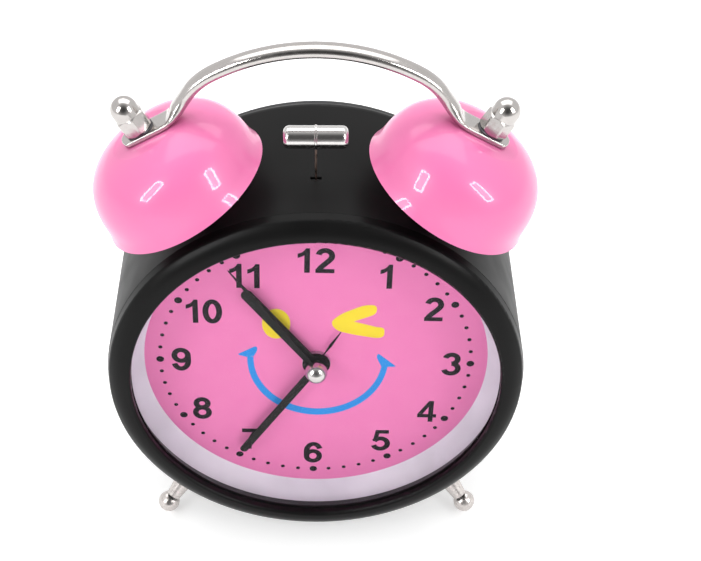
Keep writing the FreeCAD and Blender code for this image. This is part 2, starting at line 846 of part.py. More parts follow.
board_middle = size("board_height") / 2 - size("movement_width") / 2 + size("movement_wall") * 2
stator_low = rotor_at[1] - size("stator_bar")
stator_high = size("movement_width") / 2 - size("movement_wall") - size("core_wall_gap")


def make_movement_electrics():
    half = size("stator_half_width")
    plate = box(-half, half, stator_front, stator_back, stator_low, stator_high)
    window_low = stator_high - size("core_bar") - size("core_window")
    coil_half = size("winding_length") / 2
    window = box(-coil_half - size("case_gap"), coil_half + size("case_gap"), stator_front - 1, stator_back + 1,
                 window_low, window_low + size("core_window"))
    bore = rod(size("rotor_radius") + size("magnet_gap"), size("stator_thickness") * 3,
               backing(stator_front - size("stator_thickness"), rotor_at[0], rotor_at[1]))
    keep("stator", less(plate, [window, bore]))

    core_middle = stator_high - size("core_bar") / 2
    place = Placement(Vector(-float(coil_half), float(stator_front + size("stator_thickness") / 2),
                             float(core_middle)), Rotation(Vector(0, 1, 0), 90))
    winding = rod(size("winding_radius"), size("winding_length"), place)
    core = box(-coil_half * 2, coil_half * 2, stator_front, stator_back, window_low + size("core_window"),
               stator_high)
    keep("stepper_coil", less(winding, [core]))

    width = size("board_width") / 2
    height = size("board_height") / 2
    top = size("board_level")
    board = box(-width, width, top, top + size("board_thickness"), board_middle - height, board_middle + height)
    chip = rod(size("crystal_radius") * 3, size("wheel_thickness"), facing(top, width / -2, board_middle))
    keep("circuit_board", joined([board, chip]))
    start = Vector(float(width) / 3, float(top - size("crystal_radius")), float(board_middle))
    keep("quartz_crystal", rod(size("crystal_radius"), size("crystal_length"),
                               Placement(start, Rotation(Vector(0, 1, 0), 90))))

    nut = rod(boss_radius + size("nut_wall"), size("boss_height"), facing(0))
    thread = rod(boss_radius, size("boss_height") * 3, facing(size("boss_height")))
    keep("dial_nut", less(nut, [thread]))


# Hands
# shares of a pointed hand's length, and of its width there
ALARM_HAND_SHAPE = ((0.0, 0.4), (0.36, 0.4), (0.6, 1.0), (1.0, 0.2))
SECOND_HAND_SHAPE = ((0.0, 1.0), (0.82, 1.0), (1.0, 0.15))


def hand(label, number, length, width, hub_radius, hole_radius, angle, shape=None):
    """A flat hand with a round hub: parallel with a round end, or pointed with a shape of its own."""
    place = facing(-hand_back(number))
    thickness = size("hand_thickness")
    hub = rod(hub_radius, thickness, place)
    if shape is None:
        blade = box(-width / 2, width / 2, -hand_front(number), -hand_back(number), 0, length - width / 2)
        tip_place = facing(-hand_back(number), 0, length - width / 2)
        pieces = [hub, blade, rod(width / 2, thickness, tip_place)]
    else:
        blade = doc.addObject("PartDesign::Body", "Blade")
        right = [(width / 2 * across, length * along_hand) for along_hand, across in shape]
        left = [(-width / 2 * across, length * along_hand) for along_hand, across in reversed(shape)]
        sketch = closed_sketch(blade, "XY_Plane", right + left)
        pad = blade.newObject("PartDesign::Pad", "Thickness")
        pad.Profile = sketch
        bind(pad, Length=thickness)
        blade.Placement = place
        pieces = [hub, blade]
    hole = rod(hole_radius, thickness * 3, facing(thickness - hand_back(number)))
    finished = less(joined(pieces), [hole])
    finished.Placement = turned_to(angle)
    keep(label, finished)


def make_hands():
    hand("alarm_hand", ALARM_HAND, size("alarm_hand_length"), size("alarm_hand_width"),
         size("alarm_hub_radius"), alarm_tube, size("alarm_hand_angle"), ALARM_HAND_SHAPE)
    hand("hour_hand", HOUR_HAND, size("hour_hand_length"), size("hour_hand_width"),
         size("hour_hub_radius"), hour_tube, size("hour_hand_angle"))
    hand("minute_hand", MINUTE_HAND, size("minute_hand_length"), size("minute_hand_width"),
         size("minute_hub_radius"), minute_tube, size("minute_hand_angle"))
    hand("second_hand", SECOND_HAND, size("second_hand_length"), size("second_hand_width"),
         size("second_hub_radius"), size("seconds_arbor_radius"), size("second_hand_angle"),
         SECOND_HAND_SHAPE)
    centre = hand_front(SECOND_HAND) + size("cap_depth")
    dome = ball(size("cap_radius"), Vector(0, -float(centre), 0))
    back = rod(size("cap_radius") * 2, size("cap_radius") * 2,
               facing(size("cap_radius") * 2 - hand_front(SECOND_HAND)))
    keep("hand_cap", less(dome, [back]))


# Bells
def bell_outline(rise):
    """The bell's radius at a rise above the rim: a full dome with a flat crown, flared at the rim."""
    power = 2.8
    full = float(size("bell_height")) * 1.03
    dome = float(size("bell_radius")) * (1 - (rise / full) ** power) ** (1 / power)
    flare = float(size("bell_lip_radius") - size("bell_radius"))
    flare_height = float(size("bell_flare_height"))
    return dome + flare * max(0.0, 1 - rise / flare_height) ** 2


def bell_profile(wall):
    """Points from the rim up to the flat crown, drawn in by a wall's thickness."""
    height = float(size("bell_height"))
    count = 20
    points = []
    for number in range(count + 1):
        rise = height * math.sin(math.radians(90 * number / count))
        points.append(Vector(bell_outline(rise) - wall, 0, rise * (height - wall) / height))
    return points


def make_bell(label, side):
    outer = bell_profile(0.0)
    inner = bell_profile(float(size("bell_wall")))
    hole = float(size("stud_radius") + size("stud_hole_gap"))
    outer_curve = Part.BSplineCurve()
    outer_curve.interpolate(outer)
    inner_curve = Part.BSplineCurve()
    inner_curve.interpolate(inner)
    top, under = Vector(hole, 0, outer[-1].z), Vector(hole, 0, inner[-1].z)
    straight = [(outer[0], inner[0]), (inner[-1], under), (under, top), (top, outer[-1])]
    edges = [Part.LineSegment(*pair).toShape() for pair in straight]
    edges += [outer_curve.toShape(), inner_curve.toShape()]
    wire = Part.Wire(Part.__sortEdges__(edges))
    shell = Part.Face(wire).revolve(Vector(), Vector(0, 0, 1), 360)
    formed(label, shell).Placement = on_bell(side, 0)


crown = size("bell_height")
tongue_top = crown + size("tongue_thickness")
nut_seat = tongue_top + size("washer_thickness")
dome_centre = nut_seat + size("cap_nut_hex_height") + size("cap_nut_neck")


def make_bell_fittings():
    studs, spacers, nuts, washers, caps = [], [], [], [], []
    stud_start = wall_height(drum_bore) - size("stud_nut_height") - size("stud_radius")
    for side in axis_sides:
        stud_end = dome_centre
        studs.append(rod(size("stud_radius"), stud_end - stud_start, on_bell(side, stud_start)))

        start = wall_height(size("drum_radius")) - size("spacer_radius")
        sleeve = rod(size("spacer_radius"), crown - size("bell_wall") - start, on_bell(side, start))
        bore = rod(size("stud_radius"), crown - start, on_bell(side, start))
        spacers.append(less(sleeve, [drum_cylinder(size("drum_radius")), bore]))

        corner = size("bell_offset") + size("stud_nut_width") * 0.58
        seat = root(drum_bore * drum_bore - corner * corner) - bell_distance
        start = seat - size("stud_nut_height")
        nut = hexagon(size("stud_nut_width"), size("stud_nut_height"), on_bell(side, start))
        nuts.append(less(nut, [rod(size("stud_radius"), size("stud_nut_height") * 2, on_bell(side, start))]))

        washer = rod(size("washer_radius"), size("washer_thickness"), on_bell(side, tongue_top))
        hole = rod(size("stud_radius"), size("tongue_thickness"), on_bell(side, tongue_top))
        washers.append(less(washer, [hole]))

        nut_turn = size("left_nut_turn") if side < 0 else size("right_nut_turn")
        turned = Placement(Vector(), Rotation(Vector(0, 0, 1), float(nut_turn)))
        body = hexagon(size("cap_nut_width"), size("cap_nut_hex_height"),
                       on_bell(side, nut_seat).multiply(turned))
        hex_height = size("cap_nut_hex_height")
        chamfer = size("cap_nut_chamfer")
        end_radius = size("cap_nut_dome_radius")
        corner_radius = end_radius + chamfer
        rounded = turned_body([
            (0, 0), (end_radius, 0), (corner_radius, chamfer), (corner_radius, hex_height - chamfer),
            (end_radius, hex_height), (0, hex_height)])
        rounded.Placement = on_bell(side, nut_seat)
        neck = rod(size("cap_nut_dome_radius"), dome_centre - nut_seat, on_bell(side, nut_seat))
        dome = ball(size("cap_nut_dome_radius"), on_bell(side, dome_centre).Base)
        thread = rod(size("stud_radius"), dome_centre - nut_seat, on_bell(side, nut_seat))
        caps.append(less(joined([within(body, rounded), neck, dome]), [thread]))
    keep("bell_studs", group(studs))
    keep("bell_spacers", group(spacers))
    keep("stud_nuts", group(nuts))
    keep("lock_washers", group(washers))
    keep("cap_nuts", group(caps))


# Handle
def rounded_section(width, thickness, squareness, place):
    """A closed section, width along local y and thickness along local x, oval or nearly square."""
    points = []
    count = 24
    for number in range(count):
        turn = 2 * math.pi * number / count
        across, up = math.cos(turn), math.sin(turn)
        x = math.copysign(abs(across) ** (2 / squareness), across) * thickness / 2
        y = math.copysign(abs(up) ** (2 / squareness), up) * width / 2
        points.append(place.multVec(Vector(x, y, 0)))
    curve = Part.BSplineCurve()
    curve.interpolate(points, PeriodicFlag=True)
    return Part.Wire(curve.toShape())


def handle_path():
    """Stations from the right tongue to the top: (x, z, slope angle, flatness from 0 to 1)."""
    tilt = float(size("bell_tilt"))
    foot = bell_foot(1)
    middle = float(crown + size("tongue_thickness") / 2)
    bend = float(size("tongue_bend"))
    across = Vector(-math.cos(math.radians(tilt)), 0, math.sin(math.radians(tilt)))
    tongue = foot + bell_axis(1) * middle
    knee = tongue + across * bend
    arc = float(size("handle_arc_radius"))
    top = float(handle_top)
    corner_x = knee.x - float(size("handle_leg_run"))
    corner = Vector(corner_x, 0, top - arc + math.sqrt(arc * arc - corner_x * corner_x))
    leg = Vector(corner.x - knee.x, 0, corner.z - knee.z)
    leg_angle = math.degrees(math.atan2(leg.z, -leg.x))
    arc_angle = math.degrees(math.asin(corner_x / arc))
    stations = []
    for share in (0.4, 0.55, 0.7, 0.83):
        point = tongue + across * bend * share
        stations.append((point.x, point.z, tilt, 1.0))
    steps = ((0.03, 0.5, 0.9), (0.18, 0.9, 0.6), (0.36, 1.0, 0.3), (0.55, 1.0, 0.08), (0.74, 1.0, 0.0))
    for share, turn, flat in steps:
        angle = tilt + (leg_angle - tilt) * turn
        stations.append((knee.x + leg.x * share, knee.z + leg.z * share, angle, flat))
    # round the corner between the leg and the arch on a quadratic bend
    before = Vector(knee.x + leg.x * 0.74, 0, knee.z + leg.z * 0.74)
    after_angle = arc_angle * 0.87
    after = Vector(arc * math.sin(math.radians(after_angle)), 0,
                   top - arc + arc * math.cos(math.radians(after_angle)))
    for share in (0.25, 0.5, 0.75):
        point = before * (1 - share) ** 2 + corner * 2 * share * (1 - share) + after * share ** 2
        angle = leg_angle + (after_angle - leg_angle) * share
        stations.append((point.x, point.z, angle, 0.0))
    count = 5
    for number in range(count, -1, -1):
        angle = after_angle * number / count
        turn = math.radians(angle)
        stations.append((arc * math.sin(turn), top - arc + arc * math.cos(turn), angle, 0.0))
    return stations


def make_handle():
    half = []
    depth = float(size("bell_depth"))
    for x, z, angle, flat in handle_path():
        width = float(size("handle_width")) * (1 - flat) + (float(size("tongue_width")) - 0.2) * flat
        thickness = float(size("handle_thickness")) * (1 - flat) + (float(size("tongue_thickness")) - 0.2) * flat
        half.append((x, z, angle, width, thickness, 2.3 + 2.7 * flat))
    stations = [(x, z, angle, w, t, q) for x, z, angle, w, t, q in half]
    stations += [(-x, z, -angle, w, t, q) for x, z, angle, w, t, q in reversed(half[:-1])]
    sections = []
    for x, z, angle, width, thickness, squareness in stations:
        # local z runs along the bar, local y along the drum axis, local x out of the arch
        turn = Rotation(Vector(0, 1, 0), angle - 90)
        sections.append(rounded_section(width, thickness, squareness, Placement(Vector(x, depth, z), turn)))
    bar = Part.makeLoft(sections, True, False)
    if bar.Volume < 0:
        bar.reverse()
    solids = [bar]
    holes = []
    half_width = float(size("tongue_width")) / 2
    thickness = float(size("tongue_thickness"))
    tip = float(size("tongue_tip"))
    end_radius = float(size("tongue_end_radius"))
    reach = float(size("tongue_bend")) * 0.8
    for side in axis_sides:
        strip = Part.makeBox(reach + tip, half_width * 2, thickness, Vector(-reach, -half_width, 0))
        round_end = Part.makeCylinder(end_radius, thickness, Vector(tip - end_radius, 0, 0))
        rest = Part.makeBox(reach + tip - end_radius, half_width * 2, thickness, Vector(-reach, -half_width, 0))
        tongue = strip.common(round_end.fuse(rest))
        if side < 0:
            tongue = tongue.mirror(Vector(), Vector(1, 0, 0))
        tongue.Placement = on_bell(side, crown).multiply(tongue.Placement)
        solids.append(tongue)
        hole = Part.makeCylinder(float(size("stud_radius") + size("stud_hole_gap")), thickness * 3)
        hole.Placement = on_bell(side, crown - size("tongue_thickness"))
        holes.append(hole)
    shape = solids[0].fuse(solids[1:]).cut(holes)
    formed("handle", shape)


# Hammer
pivot_height = drum_bore - size("hammer_pivot_drop")
head_height = pivot_height + size("hammer_rod_length")


def across_clock(start, depth, height):
    """A placement whose local z runs along x."""
    return Placement(Vector(float(start), float(depth), float(height)), Rotation(Vector(0, 1, 0), 90))


def make_hammer():
    depth = size("hammer_depth")
    half = size("hammer_head_length") / 2
    radius = size("hammer_head_radius")
    ring = size("hammer_ring_width") / 2
    crest = radius + size("hammer_ring_rise")
    head = turned_body(
        [(0, 0), (radius, 0), (radius, half - ring), (crest, half - ring / 2), (crest, half + ring / 2),
         (radius, half + ring), (radius, half * 2), (0, half * 2)],
        [(radius, 0, size("hammer_head_round")), (radius, half * 2, size("hammer_head_round"))])
    head.Placement = across_clock(-half, depth, head_height)
    socket = rod(size("hammer_rod_radius"), radius, Placement(
        Vector(0, float(depth), float(head_height - radius * 1.5)), Rotation()))
    keep("hammer_head", less(head, [socket]))

    hub_top = pivot_height + size("hammer_hub_radius")
    rod_start = pivot_height + size("hammer_pin_radius") + size("running_fit") + 0.1
    place = Placement(Vector(0, float(depth), float(rod_start)), Rotation())
    keep("hammer_rod", rod(size("hammer_rod_radius"), head_height - radius / 2 - rod_start, place))

    side = size("hammer_lever_width") / 2
    hub = rod(size("hammer_hub_radius"), side * 2, backing(depth - side, 0, pivot_height))
    magnet_half = size("hammer_magnet_size") / 2
    magnet_top = pivot_height - size("hammer_lever_length") + magnet_half
    magnet_low = magnet_top - magnet_half * 2
    arm = box(-side, side, depth - side, depth + side, magnet_low, pivot_height)
    pin_hole = rod(size("hammer_pin_radius") + size("running_fit"), side * 4,
                   backing(depth - side * 2, 0, pivot_height))
    socket = rod(size("hammer_rod_radius"), hub_top - rod_start + 1, place)
    keep("hammer_lever", less(joined([hub, arm]), [pin_hole, socket]))

    magnet = box(-magnet_half, magnet_half, depth - magnet_half, depth + magnet_half, magnet_low, magnet_top)
    slot = box(-side, side, depth - side, depth + side, magnet_low - 1, magnet_top + 1)
    keep("hammer_magnet", less(magnet, [slot]))

    ear = size("bracket_sheet")
    ear_gap = side + size("case_gap")
    pin_half = ear_gap + ear
    keep("hammer_pin", rod(size("hammer_pin_radius"), pin_half * 2, backing(depth - pin_half, 0, pivot_height)))
    make_bracket(depth, ear, ear_gap, magnet_half)


def make_bracket(depth, sheet_thickness, ear_gap, magnet_half):
    reach = size("bracket_half_length")
    front = depth - size("bracket_width") / 2
    back = depth + size("bracket_width") / 2
    base_top = pivot_height - size("bracket_drop") + size("hammer_hub_radius") / 2
    base_low = base_top - sheet_thickness
    coil_height = pivot_height - size("hammer_lever_length")
    flange_low = coil_height - size("coil_radius")
    pieces = [box(-reach, reach, front, back, base_low, base_top)]
    for side in axis_sides:
        inner, outer = reach - sheet_thickness, reach
        low_x, high_x = (inner, outer) if side > 0 else (-outer, -inner)
        pieces.append(box(low_x, high_x, front, back, flange_low, drum_bore * 2))
        ear_front = depth + ear_gap if side > 0 else depth - ear_gap - sheet_thickness
        ear_half = size("ear_length") / 2
        ear_top = pivot_height + size("hammer_pin_radius") * 2
        pieces.append(box(-ear_half, ear_half, ear_front, ear_front + sheet_thickness, base_low, ear_top))
    window_half = magnet_half + size("case_gap") * 3
    holes = [box(-window_half, window_half, depth - ear_gap, depth + ear_gap, base_low - 1, base_top + 1),
             rod(size("hammer_pin_radius"), size("bracket_width") * 2, backing(front - 1, 0, pivot_height)),
             rod(size("coil_bore_radius"), reach * 4, across_clock(reach * -2, depth, coil_height))]
    fitted = within(joined(pieces), drum_cylinder(drum_bore))
    keep("hammer_bracket", less(fitted, holes))

    coils, cores = [], []
    coil_length = reach - sheet_thickness - size("coil_start")
    for side in axis_sides:
        start = size("coil_start") if side > 0 else -size("coil_start") - coil_length
        winding = rod(size("coil_radius"), coil_length, across_clock(start, depth, coil_height))
        bore = rod(size("coil_bore_radius"), coil_length * 3,
                   across_clock(start - coil_length, depth, coil_height))
        coils.append(less(winding, [bore]))
        core_length = coil_length + sheet_thickness + size("magnet_gap")
        start = size("coil_start") - size("magnet_gap") if side > 0 else -reach
        cores.append(rod(size("coil_bore_radius"), core_length, across_clock(start, depth, coil_height)))
    keep("hammer_coils", group(coils))
    keep("coil_cores", group(cores))


# Feet
def under_floor():
    """A block whose top is the floor that the leaning clock stands on."""
    block = doc.addObject("Part::Box", "Floor")
    bind(block, Length=size("drum_radius") * 4, Width=size("drum_radius") * 4, Height=size("foot_ball_radius"))
    reach = float(size("drum_radius")) * 2
    corner = Vector(-reach, -reach, -floor_drop() - float(size("foot_ball_radius")))
    upright = Placement(Vector(), Rotation(Vector(1, 0, 0), float(size("lean_angle"))))
    block.Placement = upright.multiply(Placement(corner, Rotation()))
    return block


def make_feet():
    nuts = []
    length = foot_length()
    for side, label in zip(axis_sides, ("left_foot", "right_foot")):
        direction = foot_axis(side)
        wall_point = foot_root(side, size("drum_radius"))
        centre = wall_point + direction * length
        extra = float(size("foot_root_radius"))
        leg_start = wall_point - direction * extra
        leg = cone(size("foot_root_radius"), size("foot_neck_radius"), length + extra, along(leg_start, direction))
        knob = ball(size("foot_ball_radius"), centre)
        outside = less(joined([leg, knob]), [drum_cylinder(size("drum_radius")), under_floor()])
        stud_length = float(size("foot_stud_length"))
        stud = rod(size("foot_stud_radius"), stud_length + extra,
                   along(wall_point - direction * stud_length, direction))
        keep(label, joined([outside, stud]))

        seat = foot_root(side, drum_bore) - direction * float(size("case_gap"))
        nut_height = float(size("foot_nut_height"))
        tilt = math.tan(math.radians(float(size("foot_tilt"))))
        nut_start = seat - direction * (nut_height + tilt * float(size("foot_nut_width")) * 0.58)
        nut = hexagon(size("foot_nut_width"), nut_height * 2, along(nut_start, direction))
        bore = rod(size("foot_stud_radius"), nut_height * 4, along(nut_start - direction, direction))
        nuts.append(less(within(nut, drum_cylinder(drum_bore)), [bore]))
    keep("foot_nuts", group(nuts))


# Back of the clock
knob_end = cover_face + size("knob_gap") + size("knob_length") / 2
cell_pitch = size("cell_radius") * 2 + size("cell_clearance")
bay_half_height = cell_pitch + size("cell_clearance")
bay_half_width = (size("cell_length") + size("spring_length")) / 2 + size("contact_thickness")
bay_depth = cell_pitch + size("cell_clearance")
door_thickness = size("cover_wall") - size("contact_thickness") / 2
door_inside = cover_face - door_thickness
cell_depth = door_inside - size("cell_clearance") * 2 - size("cell_radius")
bay_bottom = cell_depth - size("cell_radius") - size("cell_clearance")


hinge_height = size("cell_middle_z") - bay_half_height + size("case_gap") + size("hinge_pin_edge")


def hinge_pin(radius, reach):
    """The battery door's hinge pin, from one end to the other of the door and a reach beyond each."""
    half = bay_half_width + reach
    return rod(radius, half * 2, across_clock(-half, door_inside + door_thickness / 2, hinge_height))


def make_rear_cover():
    rim_back = size("drum_back") + size("cover_rim_thickness")
    dish = size("drum_radius") - size("cover_dish_inset")
    rim = size("drum_radius") - size("cover_rim_inset")
    wall = dish + size("cover_wall")
    low = cover_inside
    corners = [
        (0, 0), (wall, 0), (wall, size("drum_back") - low), (rim, size("drum_back") - low),
        (rim, rim_back - low), (dish, rim_back - low), (dish, size("cover_wall")),
        (0, size("cover_wall"))]
    dished = turned_body(corners)
    dished.Placement = backing(low)
    middle = size("cell_middle_z")
    bay = size("bay_wall")
    bay_block = box(-bay_half_width - bay, bay_half_width + bay, bay_bottom - bay, cover_inside + bay,
                    middle - bay_half_height - bay, middle + bay_half_height + bay)
    bay_room = box(-bay_half_width, bay_half_width, bay_bottom, cover_face + bay,
                   middle - bay_half_height, middle + bay_half_height)
    holes = [bay_room, hinge_pin(size("hinge_pin_radius") + size("running_fit"),
                                 size("hinge_pin_reach") + size("running_fit"))]
    through = size("cover_wall") * 3
    start = cover_inside - size("cover_wall")
    for x in axis_sides:
        for z in axis_sides:
            place = backing(start, cover_post_x * x, size("cover_post_z") * z)
            holes.append(rod(size("screw_radius") + size("running_fit"), through, place))
            head_room = backing(cover_face, cover_post_x * x, size("cover_post_z") * z)
            holes.append(rod(size("screw_head_radius") + size("case_gap"), rim_back - cover_face, head_room))
    for at in (minute_at, alarm_at):
        holes.append(rod(size("set_arbor_radius") + size("knob_arbor_hole_gap"), through,
                         backing(start, at[0], at[1])))
    stem_half = size("switch_stem") / 2
    clear = size("case_gap")
    holes.append(box(-size("control_x") - stem_half - clear, -size("control_x") + stem_half + size("switch_travel")
                     + clear, start, start + through, size("control_z") - stem_half - clear,
                     size("control_z") + stem_half + clear))
    holes.append(rod(size("button_radius") + clear, through, backing(start, size("control_x"), size("control_z"))))
    pegs = []
    board_back = size("switch_board_level") + size("board_thickness")
    for side in axis_sides:
        corner = size("switch_board_size") * 0.38 * side
        place = backing(board_back, size("control_x") + corner, size("control_z") + corner)
        pegs.append(rod(size("screw_radius"), cover_inside - board_back + size("cover_wall") / 2, place))
    keep("rear_cover", less(joined([dished, bay_block] + pegs), holes))

    screws = []
    for x in axis_sides:
        for z in axis_sides:
            at = (cover_post_x * x, size("cover_post_z") * z)
            shank = rod(size("screw_radius"), size("screw_length"),
                        backing(cover_face - size("screw_length"), *at))
            head = rod(size("screw_head_radius"), size("screw_head_height"), backing(cover_face, *at))
            slot_half = size("screw_head_radius") * 0.8
            slot_side = SCREW_SLOT_WIDTH / 2
            floor = cover_face + size("screw_head_height") / 2
            cross = [
                box(at[0] - slot_half, at[0] + slot_half, floor, floor + 2, at[1] - slot_side, at[1] + slot_side),
                box(at[0] - slot_side, at[0] + slot_side, floor, floor + 2, at[1] - slot_half, at[1] + slot_half)]
            screws.append(less(joined([shank, head]), cross))
    keep("cover_screws", group(screws))


def make_battery_set():
    middle = size("cell_middle_z")
    gap = size("case_gap")
    door = box(-bay_half_width + gap, bay_half_width - gap, door_inside, cover_face,
               middle - bay_half_height + gap, middle + bay_half_height - gap)
    latch_half = size("switch_width")
    latch_top = middle + bay_half_height - gap
    latch = box(-latch_half, latch_half, cover_face, cover_face + size("switch_travel") / 4,
                latch_top - size("switch_height"), latch_top)
    keep("battery_door", joined([door, latch, hinge_pin(size("hinge_pin_radius"), size("hinge_pin_reach"))]))

    left = -bay_half_width + size("contact_thickness")
    right = bay_half_width - size("contact_thickness")
    springs = []
    for side, label in zip(axis_sides, ("lower_battery", "upper_battery")):
        height = middle + cell_pitch / 2 * side
        body_length = size("cell_length") - size("cell_nub_height")
        if side > 0:
            can_start = left + size("spring_length")
            nub_start = can_start + body_length
            spring_place = across_clock(left, cell_depth, height)
        else:
            can_start = right - size("spring_length") - body_length
            nub_start = can_start - size("cell_nub_height")
            spring_place = Placement(Vector(float(right), float(cell_depth), float(height)),
                                     Rotation(Vector(0, 1, 0), -90))
        can = rod(size("cell_radius"), body_length, across_clock(can_start, cell_depth, height))
        nub = rod(size("cell_nub_radius"), size("cell_nub_height"), across_clock(nub_start, cell_depth, height))
        keep(label, joined([can, nub]))
        springs.append(cone(size("spring_radius"), size("spring_radius") / 2, size("spring_length"), spring_place))
    keep("battery_springs", group(springs))

    half = size("contact_height") / 2
    front, back = cell_depth - half, cell_depth + half
    contacts = [box(-bay_half_width, left, front, back, middle - bay_half_height, middle + bay_half_height)]
    for side in axis_sides:
        height = middle + cell_pitch / 2 * side
        contacts.append(box(right, bay_half_width, front, back, height - half, height + half))
    keep("battery_contacts", group(contacts))


def make_knob(label, at):
    place = backing(cover_face + size("knob_gap"), at[0], at[1])
    grip = toothed(KNOB_RIBS, float(size("knob_radius")), size("knob_length"), 0.0, 0.35, 0.35, 0.5)
    hole = Part.makeCylinder(float(size("set_arbor_radius")), float(size("knob_length") / 2))
    formed(label, grip.cut(hole)).Placement = place


def make_controls():
    make_knob("time_knob", minute_at)
    make_knob("alarm_knob", alarm_at)

    x, z = -size("control_x"), size("control_z")
    half, tall = size("switch_width") / 2, size("switch_height") / 2
    stem = size("switch_stem") / 2
    gap = size("case_gap")
    foot = size("switch_cap_height")
    cap = box(x - half, x + half, cover_face + gap, cover_face + gap + foot, z - tall, z + tall)
    neck = box(x - stem, x + stem, cover_inside - gap, cover_face + gap, z - stem, z + stem)
    shoe = box(x - half, x + half, cover_inside - gap - foot, cover_inside - gap, z - tall, z + tall)
    keep("alarm_switch", joined([cap, neck, shoe]))

    flange_front = cover_inside - gap - foot
    place = backing(flange_front, size("control_x"), z)
    flange = rod(size("button_flange_radius"), foot, place)
    plunger = rod(size("button_radius"), cover_face + size("button_height") - flange_front, place)
    keep("light_button", joined([flange, plunger]))

    side = size("switch_board_size") / 2
    low = size("switch_board_level")
    x = size("control_x")
    board = box(x - side, x + side, low, low + size("board_thickness"), z - side, z + side)
    switch_top = flange_front - size("button_travel") - gap
    contact = box(x - tall, x + tall, low, switch_top, z - tall, z + tall)
    keep("light_switch_board", joined([board, contact]))


def stand_up():
    """Lean every sub-part back, and put the clock's footprint centre on the floor at the origin."""
    lean = Placement(Vector(), Rotation(Vector(1, 0, 0), -float(size("lean_angle"))))
    bounds = FreeCAD.BoundBox()
    for thing in subparts:
        thing.Placement = lean.multiply(thing.Placement)
    doc.recompute()
    for thing in subparts:
        bounds.add(thing.Shape.optimalBoundingBox(False))
    shift = Placement(Vector(-bounds.Center.x, -bounds.Center.y, floor_drop()), Rotation())
    for thing in subparts:
        thing.Placement = shift.multiply(thing.Placement)
    doc.recompute()
    return shift.Base


def check_and_export():
    for thing in doc.Objects:
        if "Invalid" in thing.State or "Error" in thing.State:
            raise RuntimeError(f"{thing.Name} failed: {thing.State}")
    os.makedirs("parts", exist_ok=True)
    for thing in subparts:
        shape = thing.Shape
        if shape.isNull() or not shape.isValid() or not shape.Solids:
            raise RuntimeError(f"{thing.Label} has no valid solid")
        shape.exportStep(f"parts/{thing.Label}.step")


make_drum_case()
make_front_bezel()
make_dial_side()
make_train()
make_movement_shells()
make_movement_electrics()
make_hands()
for bell_side, bell_label in zip(axis_sides, ("left_bell", "right_bell")):
    make_bell(bell_label, bell_side)
make_bell_fittings()
make_handle()
make_hammer()
make_feet()
make_rear_cover()
make_battery_set()
make_controls()
doc.recompute()
offset = stand_up()
check_and_export()
print(len(subparts), "sub-parts, case origin at", [round(value, 3) for value in offset])
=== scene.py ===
import math

import bmesh
import bpy
from mathutils import Matrix, Vector


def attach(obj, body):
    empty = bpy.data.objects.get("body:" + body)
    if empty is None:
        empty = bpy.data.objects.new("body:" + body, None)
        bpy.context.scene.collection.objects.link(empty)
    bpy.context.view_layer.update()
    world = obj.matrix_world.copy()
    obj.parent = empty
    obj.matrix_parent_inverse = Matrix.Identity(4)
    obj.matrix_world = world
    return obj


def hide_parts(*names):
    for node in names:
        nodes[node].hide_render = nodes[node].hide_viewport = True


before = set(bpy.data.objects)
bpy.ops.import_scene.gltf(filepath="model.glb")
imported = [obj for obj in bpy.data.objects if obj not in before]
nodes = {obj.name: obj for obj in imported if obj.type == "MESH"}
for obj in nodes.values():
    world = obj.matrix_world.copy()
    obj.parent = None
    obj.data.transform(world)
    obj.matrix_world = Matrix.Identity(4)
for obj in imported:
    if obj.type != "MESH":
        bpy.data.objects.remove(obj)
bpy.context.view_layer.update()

# The case frame: millimetres, x right, y into the clock, z up the dial, origin on the dial's face.
MM = 0.001
LEAN = math.radians(7.0)
CASE_ORIGIN = Vector((0.0, -18.514, 62.227)) * MM
CASE = Matrix.Translation(CASE_ORIGIN) @ Matrix.Rotation(-LEAN, 4, "X") @ Matrix.Scale(MM, 4)

# The camera, found from the photo, in the object's own frame.
CAMERA_PLACE = Vector((2.535, -308.750, 405.636)) * MM
CAMERA_RIGHT = Vector((0.999876, -0.009408, 0.012593))
CAMERA_DOWN = Vector((0.001733, -0.730258, -0.683170))
CAMERA_FORWARD = Vector((0.015623, 0.683107, -0.730151))
CAMERA_FOCAL_PX = 1600.0
PICTURE_WIDTH = 701
SENSOR_WIDTH = 36.0
NEAR_CLIP = 0.01


# Node helpers
def color_sockets(sockets):
    return [socket for socket in sockets if socket.type == "RGBA"]


def ramp(tree, source, stops, interpolation="LINEAR"):
    """A colour ramp with the given (position, colour) stops."""
    made = tree.nodes.new("ShaderNodeValToRGB")
    made.color_ramp.interpolation = interpolation
    elements = made.color_ramp.elements
    while len(elements) < len(stops):
        elements.new(0.5)
    for element, (position, color) in zip(elements, stops):
        element.position = position
        element.color = (*color, 1.0)
    tree.links.new(source, made.inputs["Fac"])
    return made.outputs["Color"]


def background_rays(tree):
    """The camera's own rays, and those rays together with the ones that metal and glass send on."""
    light_path = tree.nodes.new("ShaderNodeLightPath")
    camera_rays = light_path.outputs["Is Camera Ray"]
    seen = camera_rays
    for other in ("Is Glossy Ray", "Is Transmission Ray"):
        either = tree.nodes.new("ShaderNodeMath")
        either.operation = "MAXIMUM"
        tree.links.new(seen, either.inputs[0])
        tree.links.new(light_path.outputs[other], either.inputs[1])
        seen = either.outputs[0]
    return camera_rays, seen


# Materials
# The middle range of a noise, which nearly all of its values are in.
NOISE_LOW, NOISE_HIGH = 0.3, 0.7
# The distance between a wave texture's bands at scale 1.
WAVE_PERIOD = 0.314

